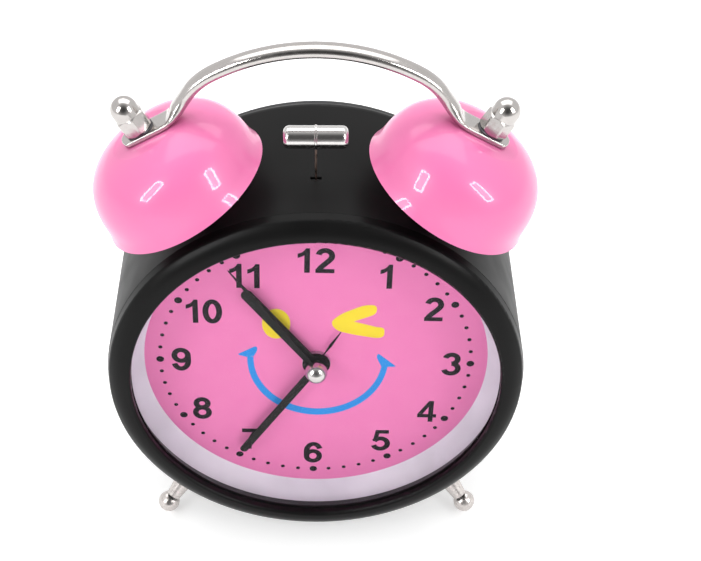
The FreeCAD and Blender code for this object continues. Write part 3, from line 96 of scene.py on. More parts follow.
# An AA cell: its length, and the bands along it from one end to the other.
CELL_LENGTH = 50.5
SLEEVE_BLACK = (0.02, 0.02, 0.022)
SLEEVE_GOLD = (0.62, 0.40, 0.13)
CELL_STEEL = (0.55, 0.55, 0.56)
SLEEVE_BANDS = ((0.0, CELL_STEEL), (0.02, SLEEVE_BLACK), (0.68, SLEEVE_GOLD), (0.97, CELL_STEEL))


def darker(color, share):
    return [part * share for part in color]


class Shader:
    """A procedural material built around one Principled shader."""

    def __init__(self, name, color, roughness, metallic=0.0, **inputs):
        self.material = bpy.data.materials.new(name)
        self.material.use_nodes = True
        self.tree = self.material.node_tree
        self.principled = self.tree.nodes["Principled BSDF"]
        self.coordinates = self.tree.nodes.new("ShaderNodeTexCoord")
        self.principled.inputs["Base Color"].default_value = (*color, 1.0)
        self.principled.inputs["Roughness"].default_value = roughness
        self.principled.inputs["Metallic"].default_value = metallic
        for key, value in inputs.items():
            self.principled.inputs[key.replace("_", " ")].default_value = value
        self.height = None

    def node(self, kind, **values):
        made = self.tree.nodes.new(kind)
        for key, value in values.items():
            if key in made.inputs:
                made.inputs[key].default_value = value
            else:
                setattr(made, key, value)
        return made

    def link(self, source, target):
        self.tree.links.new(source, target)

    def noise(self, size_mm, detail=3.0, stretch=None):
        """Noise whose features are about this many millimetres across."""
        made = self.node("ShaderNodeTexNoise", Scale=1.0 / (size_mm * MM), Detail=detail)
        source = self.coordinates.outputs["Object"]
        if stretch:
            mapping = self.node("ShaderNodeMapping")
            mapping.inputs["Scale"].default_value = stretch
            self.link(source, mapping.inputs["Vector"])
            source = mapping.outputs["Vector"]
        self.link(source, made.inputs["Vector"])
        return made.outputs["Fac"]

    def spread(self, source, low, high):
        """Map a noise's middle range onto a range of one's own."""
        made = self.node("ShaderNodeMapRange")
        made.inputs["From Min"].default_value = NOISE_LOW
        made.inputs["From Max"].default_value = NOISE_HIGH
        made.inputs["To Min"].default_value = low
        made.inputs["To Max"].default_value = high
        self.link(source, made.inputs["Value"])
        return made.outputs["Result"]

    def tint(self, source, first, last):
        """Shade the base colour between two colours."""
        mix = self.node("ShaderNodeMix", data_type="RGBA")
        for socket, color in zip(color_sockets(mix.inputs), (first, last)):
            socket.default_value = (*color, 1.0)
        self.link(self.spread(source, 0.0, 1.0), mix.inputs["Factor"])
        self.link(color_sockets(mix.outputs)[0], self.principled.inputs["Base Color"])

    def rough(self, source, low, high):
        self.link(self.spread(source, low, high), self.principled.inputs["Roughness"])

    def bump(self, source, depth_mm, strength=1.0):
        bump = self.node("ShaderNodeBump", Strength=strength, Distance=depth_mm * MM)
        self.link(source, bump.inputs["Height"])
        if self.height:
            self.link(self.height, bump.inputs["Normal"])
        self.height = bump.outputs["Normal"]
        self.link(self.height, self.principled.inputs["Normal"])


def painted(name, color, shade, roughness, peel_mm, coat, specular):
    """Sprayed enamel with slight orange peel; coat is the weight of the clear gloss over it."""
    made = Shader(name, color, roughness, Coat_Weight=coat, Coat_Roughness=0.03, Specular_IOR_Level=specular)
    made.tint(made.noise(size_mm=25.0, detail=1.0), color, shade)
    made.rough(made.noise(size_mm=9.0, detail=1.0), roughness * 0.92, roughness * 1.08)
    made.bump(made.noise(size_mm=peel_mm, detail=1.0), depth_mm=0.006, strength=0.2)
    return made.material


def polished(name, color, roughness, stretch=None):
    """Plated or turned metal with fine wear in its polish."""
    made = Shader(name, color, roughness, metallic=1.0)
    made.tint(made.noise(size_mm=6.0), color, darker(color, 0.93))
    made.rough(made.noise(size_mm=1.2, detail=4.0, stretch=stretch), roughness * 0.7, roughness * 1.5)
    made.bump(made.noise(size_mm=0.5, stretch=stretch), depth_mm=0.002, strength=0.25)
    return made.material


def moulded(name, color, roughness, grain_mm=0.4, **inputs):
    """Moulded plastic with a fine spark-eroded grain."""
    made = Shader(name, color, roughness, **inputs)
    made.tint(made.noise(size_mm=9.0), color, darker(color, 0.86))
    made.rough(made.noise(size_mm=2.0), roughness * 0.9, roughness * 1.12)
    made.bump(made.noise(size_mm=grain_mm, detail=2.0), depth_mm=0.01, strength=0.4)
    return made.material


def printed(name, color, shade):
    """Screen-printed ink: nearly even, with a trace of paper tooth."""
    made = Shader(name, color, roughness=0.55, Specular_IOR_Level=0.15)
    made.tint(made.noise(size_mm=5.0), color, shade)
    made.rough(made.noise(size_mm=1.5), 0.48, 0.62)
    made.bump(made.noise(size_mm=0.25, detail=2.0), depth_mm=0.004, strength=0.3)
    return made.material


def clear_lens():
    """The clear plastic over the dial, nearly unseen but for its gloss."""
    made = Shader("lens_clear", (0.12, 0.11, 0.12), roughness=0.02, Alpha=0.03, IOR=1.46)
    made.rough(made.noise(size_mm=8.0), 0.01, 0.035)
    return made.material


def turned_metal(name, color, roughness, pitch_mm):
    """Metal with fine lathe lines across local x."""
    made = Shader(name, color, roughness, metallic=1.0)
    wave = made.node("ShaderNodeTexWave", Scale=WAVE_PERIOD / (pitch_mm * MM), Distortion=0.6,
                     bands_direction="X")
    made.link(made.coordinates.outputs["Object"], wave.inputs["Vector"])
    made.rough(wave.outputs["Fac"], roughness * 0.8, roughness * 1.4)
    made.bump(wave.outputs["Fac"], depth_mm=0.003, strength=0.2)
    return made.material


def cell_sleeve(name, side):
    """A dry cell's printed sleeve: black with a gold band toward one end, steel beyond it."""
    made = Shader(name, SLEEVE_BLACK, roughness=0.28)
    split = made.node("ShaderNodeSeparateXYZ")
    made.link(made.coordinates.outputs["Object"], split.inputs[0])
    along_cell = made.node("ShaderNodeMath", operation="MULTIPLY_ADD")
    along_cell.inputs[1].default_value = side / (CELL_LENGTH * MM)
    along_cell.inputs[2].default_value = 0.5
    made.link(split.outputs["X"], along_cell.inputs[0])
    bands = ramp(made.tree, along_cell.outputs[0], SLEEVE_BANDS, "CONSTANT")
    made.link(bands, made.principled.inputs["Base Color"])
    made.rough(made.noise(size_mm=3.0), 0.24, 0.34)
    made.bump(made.noise(size_mm=1.5, detail=2.0), depth_mm=0.004, strength=0.3)
    return made.material


BLACK_ENAMEL = painted("black_enamel", (0.010, 0.010, 0.010), (0.012, 0.012, 0.012), 0.40, 0.9, 0.0, 0.06)
BEZEL_ENAMEL = painted("bezel_enamel", (0.005, 0.005, 0.005), (0.007, 0.007, 0.007), 0.30, 0.9, 0.0, 0.09)
PINK_ENAMEL = painted("pink_enamel", (0.82, 0.19, 0.42), (0.80, 0.18, 0.405), 0.3, 2.4, 0.5, 0.25)
CHROME = polished("chrome_plate", (0.51, 0.485, 0.47), 0.15)
FOOT_CHROME = polished("foot_plate", (0.60, 0.56, 0.54), 0.25)
HAMMER_STEEL = turned_metal("hammer_turned", (0.62, 0.60, 0.59), 0.17, 0.22)
PLAIN_STEEL = polished("plain_steel", (0.55, 0.55, 0.56), 0.28)
DARK_STEEL = polished("dark_steel", (0.10, 0.10, 0.11), 0.35)
ROD_STEEL = polished("rod_steel", (0.34, 0.25, 0.21), 0.3)
CAP_STEEL = polished("cap_plate", (0.62, 0.60, 0.59), 0.18)
COPPER = polished("copper_wire", (0.72, 0.33, 0.17), 0.3, (1.0, 12.0, 1.0))
DIAL_PINK = printed("dial_pink", (0.86, 0.235, 0.50), (0.84, 0.22, 0.485))
INK_BLACK = printed("ink_black", (0.010, 0.009, 0.011), (0.014, 0.012, 0.015))
INK_YELLOW = printed("ink_yellow", (0.92, 0.72, 0.045), (0.90, 0.69, 0.04))
INK_BLUE = printed("ink_blue", (0.035, 0.29, 0.76), (0.03, 0.27, 0.73))
RING_WHITE = moulded("ring_white", (0.74, 0.69, 0.79), 0.45, 0.6)
CARRIER_WHITE = moulded("carrier_white", (0.74, 0.73, 0.72), 0.5)
BLACK_MOULDING = moulded("black_moulding", (0.018, 0.018, 0.019), 0.5)
IVORY_MOULDING = moulded("ivory_moulding", (0.66, 0.63, 0.55), 0.5)
HAND_ENAMEL = moulded("hand_enamel", (0.012, 0.012, 0.012), 0.45, 1.2, Specular_IOR_Level=0.15)
LENS_CLEAR = clear_lens()
BOARD_GREEN = moulded("board_green", (0.02, 0.16, 0.06), 0.35)
LOWER_CELL = cell_sleeve("lower_cell_sleeve", 1.0)
UPPER_CELL = cell_sleeve("upper_cell_sleeve", -1.0)
LAMP_CLEAR = moulded("lamp_clear", (0.85, 0.84, 0.78), 0.12)

NODE_MATERIALS = {
    BLACK_ENAMEL: ["drum_case"],
    BEZEL_ENAMEL: ["front_bezel"],
    PINK_ENAMEL: ["left_bell", "right_bell"],
    CHROME: ["handle", "cap_nuts", "quartz_crystal"],
    FOOT_CHROME: ["left_foot", "right_foot"],
    HAMMER_STEEL: ["hammer_head"],
    PLAIN_STEEL: ["hammer_pin", "hammer_bracket", "coil_cores", "bell_studs", "stud_nuts", "foot_nuts",
                  "battery_springs", "battery_contacts", "stator", "rotor", "dial_nut"],
    DARK_STEEL: ["lock_washers", "cover_screws", "hammer_magnet"],
    ROD_STEEL: ["hammer_rod"],
    CAP_STEEL: ["hand_cap"],
    COPPER: ["hammer_coils", "stepper_coil"],
    DIAL_PINK: ["dial_disc"],
    RING_WHITE: ["reflector_ring"],
    CARRIER_WHITE: ["dial_carrier"],
    BLACK_MOULDING: ["rear_cover", "battery_door", "light_button", "alarm_switch", "time_knob", "alarm_knob",
                     "bell_spacers"],
    IVORY_MOULDING: ["movement_front", "movement_rear", "intermediate_wheel", "seconds_wheel",
                     "third_wheel", "centre_wheel", "minute_wheel", "hour_wheel", "alarm_wheel",
                     "alarm_pinion", "hammer_lever"],
    HAND_ENAMEL: ["alarm_hand", "hour_hand", "minute_hand", "second_hand"],
    LENS_CLEAR: ["lens"],
    BOARD_GREEN: ["circuit_board", "light_switch_board"],
    LOWER_CELL: ["lower_battery"],
    UPPER_CELL: ["upper_battery"],
    LAMP_CLEAR: ["light_leds"],
}
for material, names in NODE_MATERIALS.items():
    for name in names:
        slots = nodes[name].data.materials
        slots.clear()
        slots.append(material)


# Mesh helpers
def bend(start, corner, end, steps):
    """Points on a quadratic bend that a corner pulls outward."""
    shares = [number / steps for number in range(steps + 1)]
    return [start * (1 - t) ** 2 + corner * 2 * t * (1 - t) + end * t ** 2 for t in shares]


def add_mesh(name, points, faces, material, body="case", smooth=True, place=CASE):
    """A mesh from millimetre points in the case frame, riding on a body."""
    mesh = bpy.data.meshes.new(name)
    mesh.from_pydata([place @ Vector(point) for point in points], [], faces)
    mesh.polygons.foreach_set("use_smooth", [smooth] * len(mesh.polygons))
    mesh.materials.append(material)
    mesh.update()
    piece = bpy.data.objects.new(name, mesh)
    bpy.context.scene.collection.objects.link(piece)
    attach(piece, body)
    return piece


# Dial print, turned about a degree clockwise of the case and a little to the left of its middle
PRINT_TURN = math.radians(1.12)
PRINT_SHIFT = -0.17
PRINT_HEIGHT = 0.03
LAYER_STEP = 0.004
DOT_CIRCLE = 43.5
HOUR_DOT_RADIUS, MINUTE_DOT_RADIUS = 1.1, 0.6
DOT_POINTS = 28


def on_dial(x, z, height):
    """A point of the print, turned with it, a little proud of the dial."""
    cosine, sine = math.cos(PRINT_TURN), math.sin(PRINT_TURN)
    return (x * cosine + z * sine + PRINT_SHIFT, -height, z * cosine - x * sine)


class Print:
    """Flat shapes collected into one mesh of one ink."""

    def __init__(self, name, ink):
        self.name, self.ink = name, ink
        self.points, self.faces = [], []

    def shape(self, outline, layer=0):
        start = len(self.points)
        height = PRINT_HEIGHT + layer * LAYER_STEP
        self.points += [on_dial(x, z, height) for x, z in outline]
        self.faces.append(tuple(range(start, start + len(outline))))

    def ellipse(self, x, z, half_width, half_height, count=56):
        turns = [2 * math.pi * number / count for number in range(count)]
        self.shape([(x + half_width * math.cos(turn), z + half_height * math.sin(turn)) for turn in turns])

    def stroke(self, path, widths, closed=False, layer=0):
        """A ribbon along a path; widths is one width or one for each point."""
        count = len(path)
        if not isinstance(widths, (list, tuple)):
            widths = [widths] * count
        sides = []
        for index, (x, z) in enumerate(path):
            before = path[index - 1] if index or closed else path[index]
            after = path[(index + 1) % count] if index < count - 1 or closed else path[index]
            dx, dz = after[0] - before[0], after[1] - before[1]
            length = math.hypot(dx, dz) or 1.0
            half = widths[index] / 2
            nx, nz = -dz / length * half, dx / length * half
            sides.append(((x + nx, z + nz), (x - nx, z - nz)))
        for index in range(count if closed else count - 1):
            a, b = sides[index], sides[(index + 1) % count]
            self.shape([a[0], a[1], b[1], b[0]], layer)

    def finish(self):
        return add_mesh(self.name, self.points, self.faces, self.ink, smooth=False)


def arc(x, z, half_width, half_height, start, end, count=22):
    turns = [math.radians(start + (end - start) * number / count) for number in range(count + 1)]
    return [(x + half_width * math.cos(turn), z + half_height * math.sin(turn)) for turn in turns]


# Each digit is drawn in a cell 5.2 wide and 8.4 high, as filled outlines and as strokes.
CELL_WIDTH, CELL_HEIGHT, STROKE = 5.2, 8.4, 1.62
ONE = [(2.45, 0), (3.95, 0), (3.95, 8.4), (2.85, 8.4), (2.4, 7.6), (1.75, 6.95), (0.65, 6.5), (0.65, 5.05),
       (1.6, 5.4), (2.45, 6.0)]
SIX = arc(2.62, 2.72, 1.88, 2.05, 0, 360, 44)
SIX_BACK = arc(2.72, 4.65, 2.02, 3.1, 22, 180) + [(0.73, 2.72)]
DIGITS = {
    "0": ([], [arc(2.6, 4.2, 1.88, 3.55, 0, 360, 48)]),
    "1": ([ONE], []),
    "2": ([[(0.05, 0), (5.15, 0), (5.15, 1.4), (0.05, 1.4)]],
          [arc(2.6, 5.9, 1.82, 1.85, 168, -28) + [(3.5, 4.1), (2.3, 2.85), (1.35, 1.75), (0.85, 0.7)]]),
    "3": ([], [arc(2.4, 6.1, 1.75, 1.68, 166, -88), arc(2.45, 2.5, 1.98, 1.88, 88, -166)]),
    "4": ([[(3.15, 0), (4.55, 0), (4.55, 8.4), (3.15, 8.4)], [(0, 1.75), (5.5, 1.75), (5.5, 3.1), (0, 3.1)],
           [(0, 3.1), (0.0, 2.0), (1.4, 2.9), (3.5, 6.6), (3.9, 8.4), (3.15, 8.4)]], []),
    "5": ([[(1.1, 6.95), (4.75, 6.95), (4.75, 8.4), (1.1, 8.4)],
           [(0.15, 3.8), (1.5, 3.85), (2.2, 8.4), (0.9, 8.4)]],
          [arc(2.42, 2.8, 2.08, 2.15, 152, -162)]),
    "6": ([], [SIX, SIX_BACK]),
    "7": ([[(0.1, 8.35), (5.15, 8.35), (5.15, 7.2), (4.6, 6.85), (0.1, 6.85)]],
          [[(4.4, 7.4), (3.35, 5.7), (2.6, 3.8), (2.15, 1.95), (2.0, 0.0)]]),
    "8": ([], [arc(2.6, 6.15, 1.65, 1.6, 0, 360, 44), arc(2.6, 2.55, 1.92, 1.88, 0, 360, 44)]),
    "9": ([], [[(CELL_WIDTH - x, CELL_HEIGHT - z) for x, z in path] for path in (SIX, SIX_BACK)]),
}
# The middle of each numeral; a pair of digits has its own step and stands a little further left.
NUMERALS = {
    "12": (-0.65, 36.4), "1": (18.75, 31.3), "2": (32.0, 19.9), "3": (38.3, -0.3), "4": (32.3, -19.0),
    "5": (19.7, -31.1), "6": (-0.2, -36.6), "7": (-18.5, -31.2), "8": (-32.3, -19.0), "9": (-37.6, 0.0),
    "10": (-31.0, 17.9), "11": (-19.15, 30.7),
}
PAIR_STEP = {"10": 5.25, "11": 4.8, "12": 5.4}
PAIR_SHIFT = 0.15
LOOP_GAP = 0.01


def print_numerals():
    black = Print("dial_numerals", INK_BLACK)
    for text, (x, z) in NUMERALS.items():
        layer = 0
        left = x - (CELL_WIDTH + PAIR_STEP.get(text, 0.0)) / 2 - (PAIR_SHIFT if len(text) > 1 else 0.0)
        foot = z - CELL_HEIGHT / 2
        for digit in text:
            outlines, strokes = DIGITS[digit]
            for outline in outlines:
                black.shape([(left + a, foot + b) for a, b in outline], layer)
                layer += 1
            for path in strokes:
                loop = math.dist(path[0], path[-1]) < LOOP_GAP
                points = path[:-1] if loop else path
                black.stroke([(left + a, foot + b) for a, b in points], STROKE, loop, layer)
                layer += 1
            left += PAIR_STEP.get(text, 0.0)
    for minute in range(60):
        turn = math.radians(6 * minute)
        radius = MINUTE_DOT_RADIUS if minute % 5 else HOUR_DOT_RADIUS
        black.ellipse(DOT_CIRCLE * math.sin(turn), DOT_CIRCLE * math.cos(turn), radius, radius, DOT_POINTS)
    black.finish()


def rounded_shape(corners):
    """An outline through (x, z, radius) corners, each rounded by its own radius."""
    outline = []
    places = [Vector(corner[:2]) for corner in corners]
    for index, here in enumerate(places):
        radius = corners[index][2]
        back = (places[index - 1] - here).normalized()
        forth = (places[(index + 1) % len(places)] - here).normalized()
        outline += bend(here + back * radius, here, here + forth * radius, CORNER_STEPS)
    return [(point.x, point.y) for point in outline]


# The eyes: a tall oval, and a wink whose corners are (x, z, radius).
CORNER_STEPS = 7
EYE_CENTRE = (-11.1, 13.8)
EYE_HALF_SIZE = (3.9, 5.45)
WINK = [(3.7, 14.75, 1.8), (6.8, 17.9, 1.7), (12.9, 21.1, 1.6), (16.4, 21.2, 1.5), (16.4, 17.9, 1.6),
        (10.2, 15.1, 0.15), (16.6, 13.2, 0.5), (18.8, 13.0, 1.3), (18.8, 9.4, 1.5), (16.5, 9.1, 1.0),
        (10.6, 10.2, 1.5), (5.4, 11.6, 2.0)]

# The smile: a bent stroke, thickest in the middle, with a small cheek at each end.
SMILE_CENTRE = (0.6, 0.7)
SMILE_HALF_SIZE = (18.9, 20.4)
SMILE_START, SMILE_SWEEP = 178, 177
SMILE_STEPS = 60
SMILE_WIDTH, SMILE_SWELL, SMILE_TAPER = 1.75, 0.8, 1.5
CHEEKS = ([(-22.0, 2.2, 0.7), (-16.6, 5.6, 0.9), (-16.2, 4.2, 0.9), (-17.3, 1.6, 0.5), (-19.2, 1.2, 0.7)],
          [(22.8, -1.6, 0.8), (20.3, -1.7, 0.4), (18.6, -1.9, 0.5), (17.0, 1.9, 0.8), (17.3, 3.5, 0.9)])


def print_face():
    yellow = Print("dial_eyes", INK_YELLOW)
    yellow.ellipse(*EYE_CENTRE, *EYE_HALF_SIZE)
    yellow.shape(rounded_shape(WINK))
    yellow.finish()

    blue = Print("dial_smile", INK_BLUE)
    mouth, widths = [], []
    for step in range(SMILE_STEPS + 1):
        share = step / SMILE_STEPS
        turn = math.radians(SMILE_START + SMILE_SWEEP * share)
        mouth.append((SMILE_CENTRE[0] + SMILE_HALF_SIZE[0] * math.cos(turn),
                      SMILE_CENTRE[1] + SMILE_HALF_SIZE[1] * math.sin(turn)))
        widths.append(SMILE_WIDTH + SMILE_SWELL * math.sin(math.pi * share) ** SMILE_TAPER)
    blue.stroke(mouth, widths)
    for cheek in CHEEKS:
        blue.shape(rounded_shape(cheek), layer=1)
    blue.finish()


print_numerals()
print_face()


# Carrying handle, in the case frame: one bar from tongue to tongue, up two legs and over an arch
BELL_TILT = math.radians(30.0)
HANDLE_DEPTH = 8.5
TONGUE_CENTRE = Vector((44.49, 71.767))
TONGUE_REACH, TONGUE_END = 5.7, 5.0
TONGUE_WIDTH, TONGUE_THICKNESS = 7.4, 1.6
TIP_WIDTH = 0.4
KNEE_DISTANCE, KNEE_FILLET = 8.6, 2.6
LEG_RUN = 6.84
ARCH_RADIUS, ARCH_CENTRE = 52.0, 44.4
BAR_WIDTH, BAR_THICKNESS = 5.2, 3.6

# The bend from leg to arch takes the last part of the leg and the first part of the arch.
BEND_FROM_LEG, BEND_INTO_ARCH = 0.74, 0.87
FILLET_STEPS, BEND_STEPS, ARCH_STEPS = 9, 12, 24
STATION_STEP, SOFTENING_ROUNDS = 0.3, 6
RING_POINTS = 48

# Past the knee, the tongue's section turns into the bar's: where that starts, and how long it takes,
# in millimetres or as a share of the leg.
WIDTH_START, WIDTH_SHARE = 0.3, 0.8
THICKNESS_START, THICKNESS_SHARE = -0.6, 0.5
SQUARENESS_START, SQUARENESS_LENGTH = -1.5, 4.5
BAR_SQUARENESS, TONGUE_SQUARENESS = 2.25, 5.0


def fillet(before, corner, after, radius):
    """A bend round a corner that starts a radius away from it."""
    start = corner + (before - corner).normalized() * radius
    end = corner + (after - corner).normalized() * radius
    return bend(start, corner, end, FILLET_STEPS)


def on_arch(turn):
    return Vector((ARCH_RADIUS * math.sin(turn), ARCH_CENTRE + ARCH_RADIUS * math.cos(turn)))


def handle_line():
    """Half of the handle's middle line as (x, z), from the right tongue's tip to the top."""
    inward = Vector((-math.cos(BELL_TILT), math.sin(BELL_TILT)))
    tip = TONGUE_CENTRE - inward * TONGUE_REACH
    knee = TONGUE_CENTRE + inward * KNEE_DISTANCE
    corner_x = knee.x - LEG_RUN
    corner = Vector((corner_x, ARCH_CENTRE + math.sqrt(ARCH_RADIUS ** 2 - corner_x ** 2)))
    arch_start = math.asin(corner_x / ARCH_RADIUS) * BEND_INTO_ARCH
    before = knee + (corner - knee) * BEND_FROM_LEG
    line = [tip]
    line += fillet(tip, knee, corner, KNEE_FILLET)
    line += bend(before, corner, on_arch(arch_start), BEND_STEPS)
    line += [on_arch(arch_start * (1 - number / ARCH_STEPS)) for number in range(1, ARCH_STEPS + 1)]
    return line, (knee - tip).length, (before - knee).length


def evenly(line, step):
    """The same line with points a step apart, and each point's distance from its start."""
    gone = [0.0]
    for here, there in zip(line, line[1:]):
        gone.append(gone[-1] + (there - here).length)
    count = round(gone[-1] / step)
    points, places, index = [], [], 0
    for number in range(count + 1):
        place = gone[-1] * number / count
        while index < len(line) - 2 and gone[index + 1] < place:
            index += 1
        share = (place - gone[index]) / (gone[index + 1] - gone[index])
        points.append(line[index].lerp(line[index + 1], share))
        places.append(place)
    return points, places


def softened(points, rounds):
    """The same points with each corner between them worn down, once a round."""
    for _ in range(rounds):
        middle = [(a + b * 2 + c) / 4 for a, b, c in zip(points, points[1:], points[2:])]
        points = [points[0]] + middle + [points[-1]]
    return points


def ease(share):
    """A step from 0 to 1 with soft ends."""
    share = min(max(share, 0.0), 1.0)
    return share * share * (3 - 2 * share)


def handle_section(width, thickness, squareness):
    """An oval or nearly square ring: across the bar, and through it."""
    ring = []
    for number in range(RING_POINTS):
        turn = 2 * math.pi * number / RING_POINTS
        across, through = math.cos(turn), math.sin(turn)
        ring.append((math.copysign(abs(across) ** (2 / squareness), across) * width / 2,
                     math.copysign(abs(through) ** (2 / squareness), through) * thickness / 2))
    return ring


def handle_stations():
    """Points along the handle, each with the bar's width, thickness and squareness there."""
    line, knee_place, leg_length = handle_line()
    half, places = evenly(line, STATION_STEP)
    stations = []
    for point, place in zip(softened(half, SOFTENING_ROUNDS), places):
        past_knee = place - knee_place
        flat = 1 - ease((past_knee - WIDTH_START) / (leg_length * WIDTH_SHARE))
        width = BAR_WIDTH + (TONGUE_WIDTH - BAR_WIDTH) * flat
        if place < TONGUE_END:
            width = min(width, 2 * math.sqrt(max(place * (2 * TONGUE_END - place), (TIP_WIDTH / 2) ** 2)))
        thin = 1 - ease((past_knee - THICKNESS_START) / (leg_length * THICKNESS_SHARE))
        thickness = BAR_THICKNESS + (TONGUE_THICKNESS - BAR_THICKNESS) * thin
        square = 1 - ease((past_knee - SQUARENESS_START) / SQUARENESS_LENGTH)
        squareness = BAR_SQUARENESS + (TONGUE_SQUARENESS - BAR_SQUARENESS) * square
        stations.append((point, width, thickness, squareness))
    return stations + [(Vector((-point.x, point.y)), *section) for point, *section in reversed(stations[:-1])]


def make_handle():
    stations = handle_stations()
    last = len(stations) - 1
    points, faces = [], []
    for index, (point, width, thickness, squareness) in enumerate(stations):
        tangent = (stations[min(index + 1, last)][0] - stations[max(index - 1, 0)][0]).normalized()
        outward = Vector((-tangent.y, tangent.x))
        if outward.y < 0:
            outward = -outward
        for across, through in handle_section(width, thickness, squareness):
            place = point + outward * through
            points.append((place.x, HANDLE_DEPTH + across, place.y))
    for start in range(0, last * RING_POINTS, RING_POINTS):
        for step in range(RING_POINTS):
            a, b = start + step, start + (step + 1) % RING_POINTS
            faces.append((a, a + RING_POINTS, b + RING_POINTS, b))
    faces.append(tuple(range(RING_POINTS)))
    faces.append(tuple(reversed(range(last * RING_POINTS, len(stations) * RING_POINTS))))
    handle = add_mesh("handle_bar", points, faces, CHROME)
    shape = bmesh.new()
    shape.from_mesh(handle.data)
    bmesh.ops.recalc_face_normals(shape, faces=shape.faces)
    shape.to_mesh(handle.data)
    shape.free()
    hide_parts("handle")


make_handle()


# Floor, lights and camera, in metres
FLOOR_REACH, FLOOR_BACK = 1.2, 0.45
FLOOR_COLOR = (0.88, 0.88, 0.88)
FLOOR_GLOW = 0.38
WHITE = (1.0, 1.0, 1.0)

# The lamps all point at the centre. A window has a border in front of its pane.
CENTRE = (0.0, 0.0, 0.07)
BORDER_WIDTH, BORDER_AHEAD = 0.038, 0.005
BORDER_RADIANCE, PANE_RADIANCE = 24.0, 3.0
WINDOWS = (("left_window", (-0.55, -0.45, 0.55), (0.175, 0.455)),
           ("right_window", (0.60, -0.40, 0.55), (0.165, 0.445)))

# The studio's brightness by height, and toward the place where the photographer stands.
UPWARD = (0.0, 0.0, 1.0)
TOWARD_VIEWER = (0.0, -0.77, 0.64)
HEIGHT_STOPS = ((0.0, 0.45), (0.48, 0.40), (0.62, 0.60), (0.78, 1.1), (1.0, 1.1))
VIEWER_STOPS = ((0.76, 1.0), (0.88, 0.5), (0.96, 0.15), (0.99, 0.08))


def make_floor():
    mesh = bpy.data.meshes.new("floor")
    corners = [(-FLOOR_REACH, -FLOOR_REACH, 0), (FLOOR_REACH, -FLOOR_REACH, 0), (FLOOR_REACH, FLOOR_BACK, 0),
               (-FLOOR_REACH, FLOOR_BACK, 0)]
    mesh.from_pydata(corners, [], [(0, 1, 2, 3)])
    floor = bpy.data.objects.new("floor", mesh)
    bpy.context.scene.collection.objects.link(floor)
    material = bpy.data.materials.new("floor_white")
    material.use_nodes = True
    tree = material.node_tree
    tree.nodes.clear()
    output = tree.nodes.new("ShaderNodeOutputMaterial")
    diffuse = tree.nodes.new("ShaderNodeBsdfDiffuse")
    diffuse.inputs["Color"].default_value = (*FLOOR_COLOR, 1.0)
    glow = tree.nodes.new("ShaderNodeEmission")
    _, seen = background_rays(tree)
    strength = tree.nodes.new("ShaderNodeMath")
    strength.operation = "MULTIPLY"
    strength.inputs[1].default_value = FLOOR_GLOW
    tree.links.new(seen, strength.inputs[0])
    tree.links.new(strength.outputs[0], glow.inputs["Strength"])
    both = tree.nodes.new("ShaderNodeAddShader")
    tree.links.new(diffuse.outputs[0], both.inputs[0])
    tree.links.new(glow.outputs[0], both.inputs[1])
    tree.links.new(both.outputs[0], output.inputs["Surface"])
    mesh.materials.append(material)


def area_light(name, place, size, radiance):
    """A rectangular lamp that points at the centre, unseen by the camera itself."""
    data = bpy.data.lights.new(name, "AREA")
    data.shape = "RECTANGLE"
    data.size, data.size_y = size
    data.energy = radiance * math.pi * size[0] * size[1]
    lamp = bpy.data.objects.new(name, data)
    lamp.location = place
    lamp.rotation_euler = (Vector(CENTRE) - Vector(place)).to_track_quat("-Z", "Y").to_euler()
    lamp.visible_camera = False
    bpy.context.scene.collection.objects.link(lamp)
    return lamp


def window_light(name, place, size):
    """A dim pane with a brighter border that only gloss shows, as a soft box does."""
    pane = area_light(name, place, size, PANE_RADIANCE)
    bpy.context.view_layer.update()
    across, up = pane.matrix_world.col[0].xyz, pane.matrix_world.col[1].xyz
    ahead = -pane.matrix_world.col[2].xyz * BORDER_AHEAD
    width, height = size
    level, upright = (width, BORDER_WIDTH), (BORDER_WIDTH, height)
    borders = ((up * (height / 2), level), (-up * (height / 2), level),
               (across * (width / 2), upright), (-across * (width / 2), upright))
    for number, (shift, border_size) in enumerate(borders):
        lamp = area_light(f"{name}_bar_{number}", place, border_size, BORDER_RADIANCE)
        lamp.location = Vector(place) + shift + ahead
        lamp.rotation_euler = pane.rotation_euler
        lamp.visible_diffuse = False


def fill_light(name, place, size, radiance):
    """A lamp that gloss doesn't show."""
    area_light(name, place, size, radiance).visible_glossy = False


def along(tree, direction, axis):
    """How far a direction points along an axis, from 0 to 1."""
    dot = tree.nodes.new("ShaderNodeVectorMath")
    dot.operation = "DOT_PRODUCT"
    tree.links.new(direction, dot.inputs[0])
    dot.inputs[1].default_value = axis
    half = tree.nodes.new("ShaderNodeMath")
    half.operation = "MULTIPLY_ADD"
    half.inputs[1].default_value = 0.5
    half.inputs[2].default_value = 0.5
    tree.links.new(dot.outputs["Value"], half.inputs[0])
    return half.outputs[0]


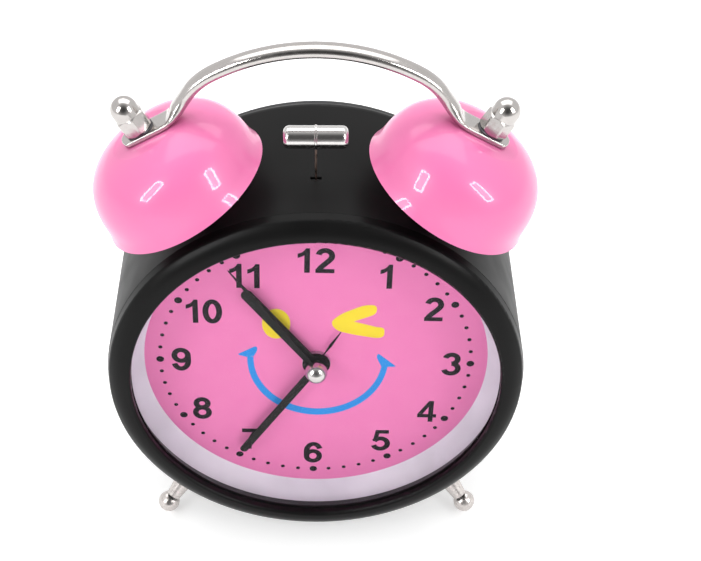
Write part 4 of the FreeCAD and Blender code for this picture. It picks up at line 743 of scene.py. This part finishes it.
def mixed(tree, blend, factor, first, second):
    """Two colours mixed; no factor means 1, and no second colour means white."""
    mix = tree.nodes.new("ShaderNodeMix")
    mix.data_type = "RGBA"
    mix.blend_type = blend
    mix.inputs["Factor"].default_value = 1.0
    if factor:
        tree.links.new(factor, mix.inputs["Factor"])
    colors = color_sockets(mix.inputs)
    tree.links.new(first, colors[0])
    colors[1].default_value = (*WHITE, 1.0)
    if second:
        tree.links.new(second, colors[1])
    return color_sockets(mix.outputs)[0]


def brightness(tree, direction, axis, stops):
    grey_stops = [(position, (value, value, value)) for position, value in stops]
    return ramp(tree, along(tree, direction, axis), grey_stops)


def make_world():
    """A studio, dim at the horizon; metal and glass show it white, but for the photographer's place."""
    world = bpy.data.worlds.new("studio")
    bpy.context.scene.world = world
    world.use_nodes = True
    tree = world.node_tree
    direction = tree.nodes.new("ShaderNodeTexCoord").outputs["Generated"]
    height = brightness(tree, direction, UPWARD, HEIGHT_STOPS)
    viewer = brightness(tree, direction, TOWARD_VIEWER, VIEWER_STOPS)
    camera_rays, seen = background_rays(tree)
    studio = mixed(tree, "MULTIPLY", None, mixed(tree, "MIX", seen, height, None), viewer)
    result = mixed(tree, "MIX", camera_rays, studio, None)
    tree.links.new(result, tree.nodes["Background"].inputs["Color"])


def make_lights():
    make_world()
    for name, place, size in WINDOWS:
        window_light(name, place, size)
    area_light("top_softbox", (0.0, 0.42, 0.92), size=(1.2, 0.7), radiance=2.0)
    fill_light("front_fill", (0.0, -1.2, 0.30), size=(1.4, 0.45), radiance=2.7)
    for side in (-1, 1):
        fill_light(f"side_fill_{side + 1}", (side * 0.6, -0.42, 0.55), size=(0.4, 0.4), radiance=2.4)


def make_camera():
    scene = bpy.context.scene
    data = bpy.data.cameras.new("camera")
    data.sensor_fit = "HORIZONTAL"
    data.sensor_width = SENSOR_WIDTH
    data.lens = CAMERA_FOCAL_PX * SENSOR_WIDTH / PICTURE_WIDTH
    data.clip_start = NEAR_CLIP
    camera = bpy.data.objects.new("camera", data)
    turn = Matrix((CAMERA_RIGHT, -CAMERA_DOWN, -CAMERA_FORWARD)).transposed()
    camera.matrix_world = Matrix.Translation(CAMERA_PLACE) @ turn.to_4x4()
    scene.collection.objects.link(camera)
    scene.camera = camera
    scene.view_settings.view_transform = "Standard"


make_floor()
make_lights()
make_camera()
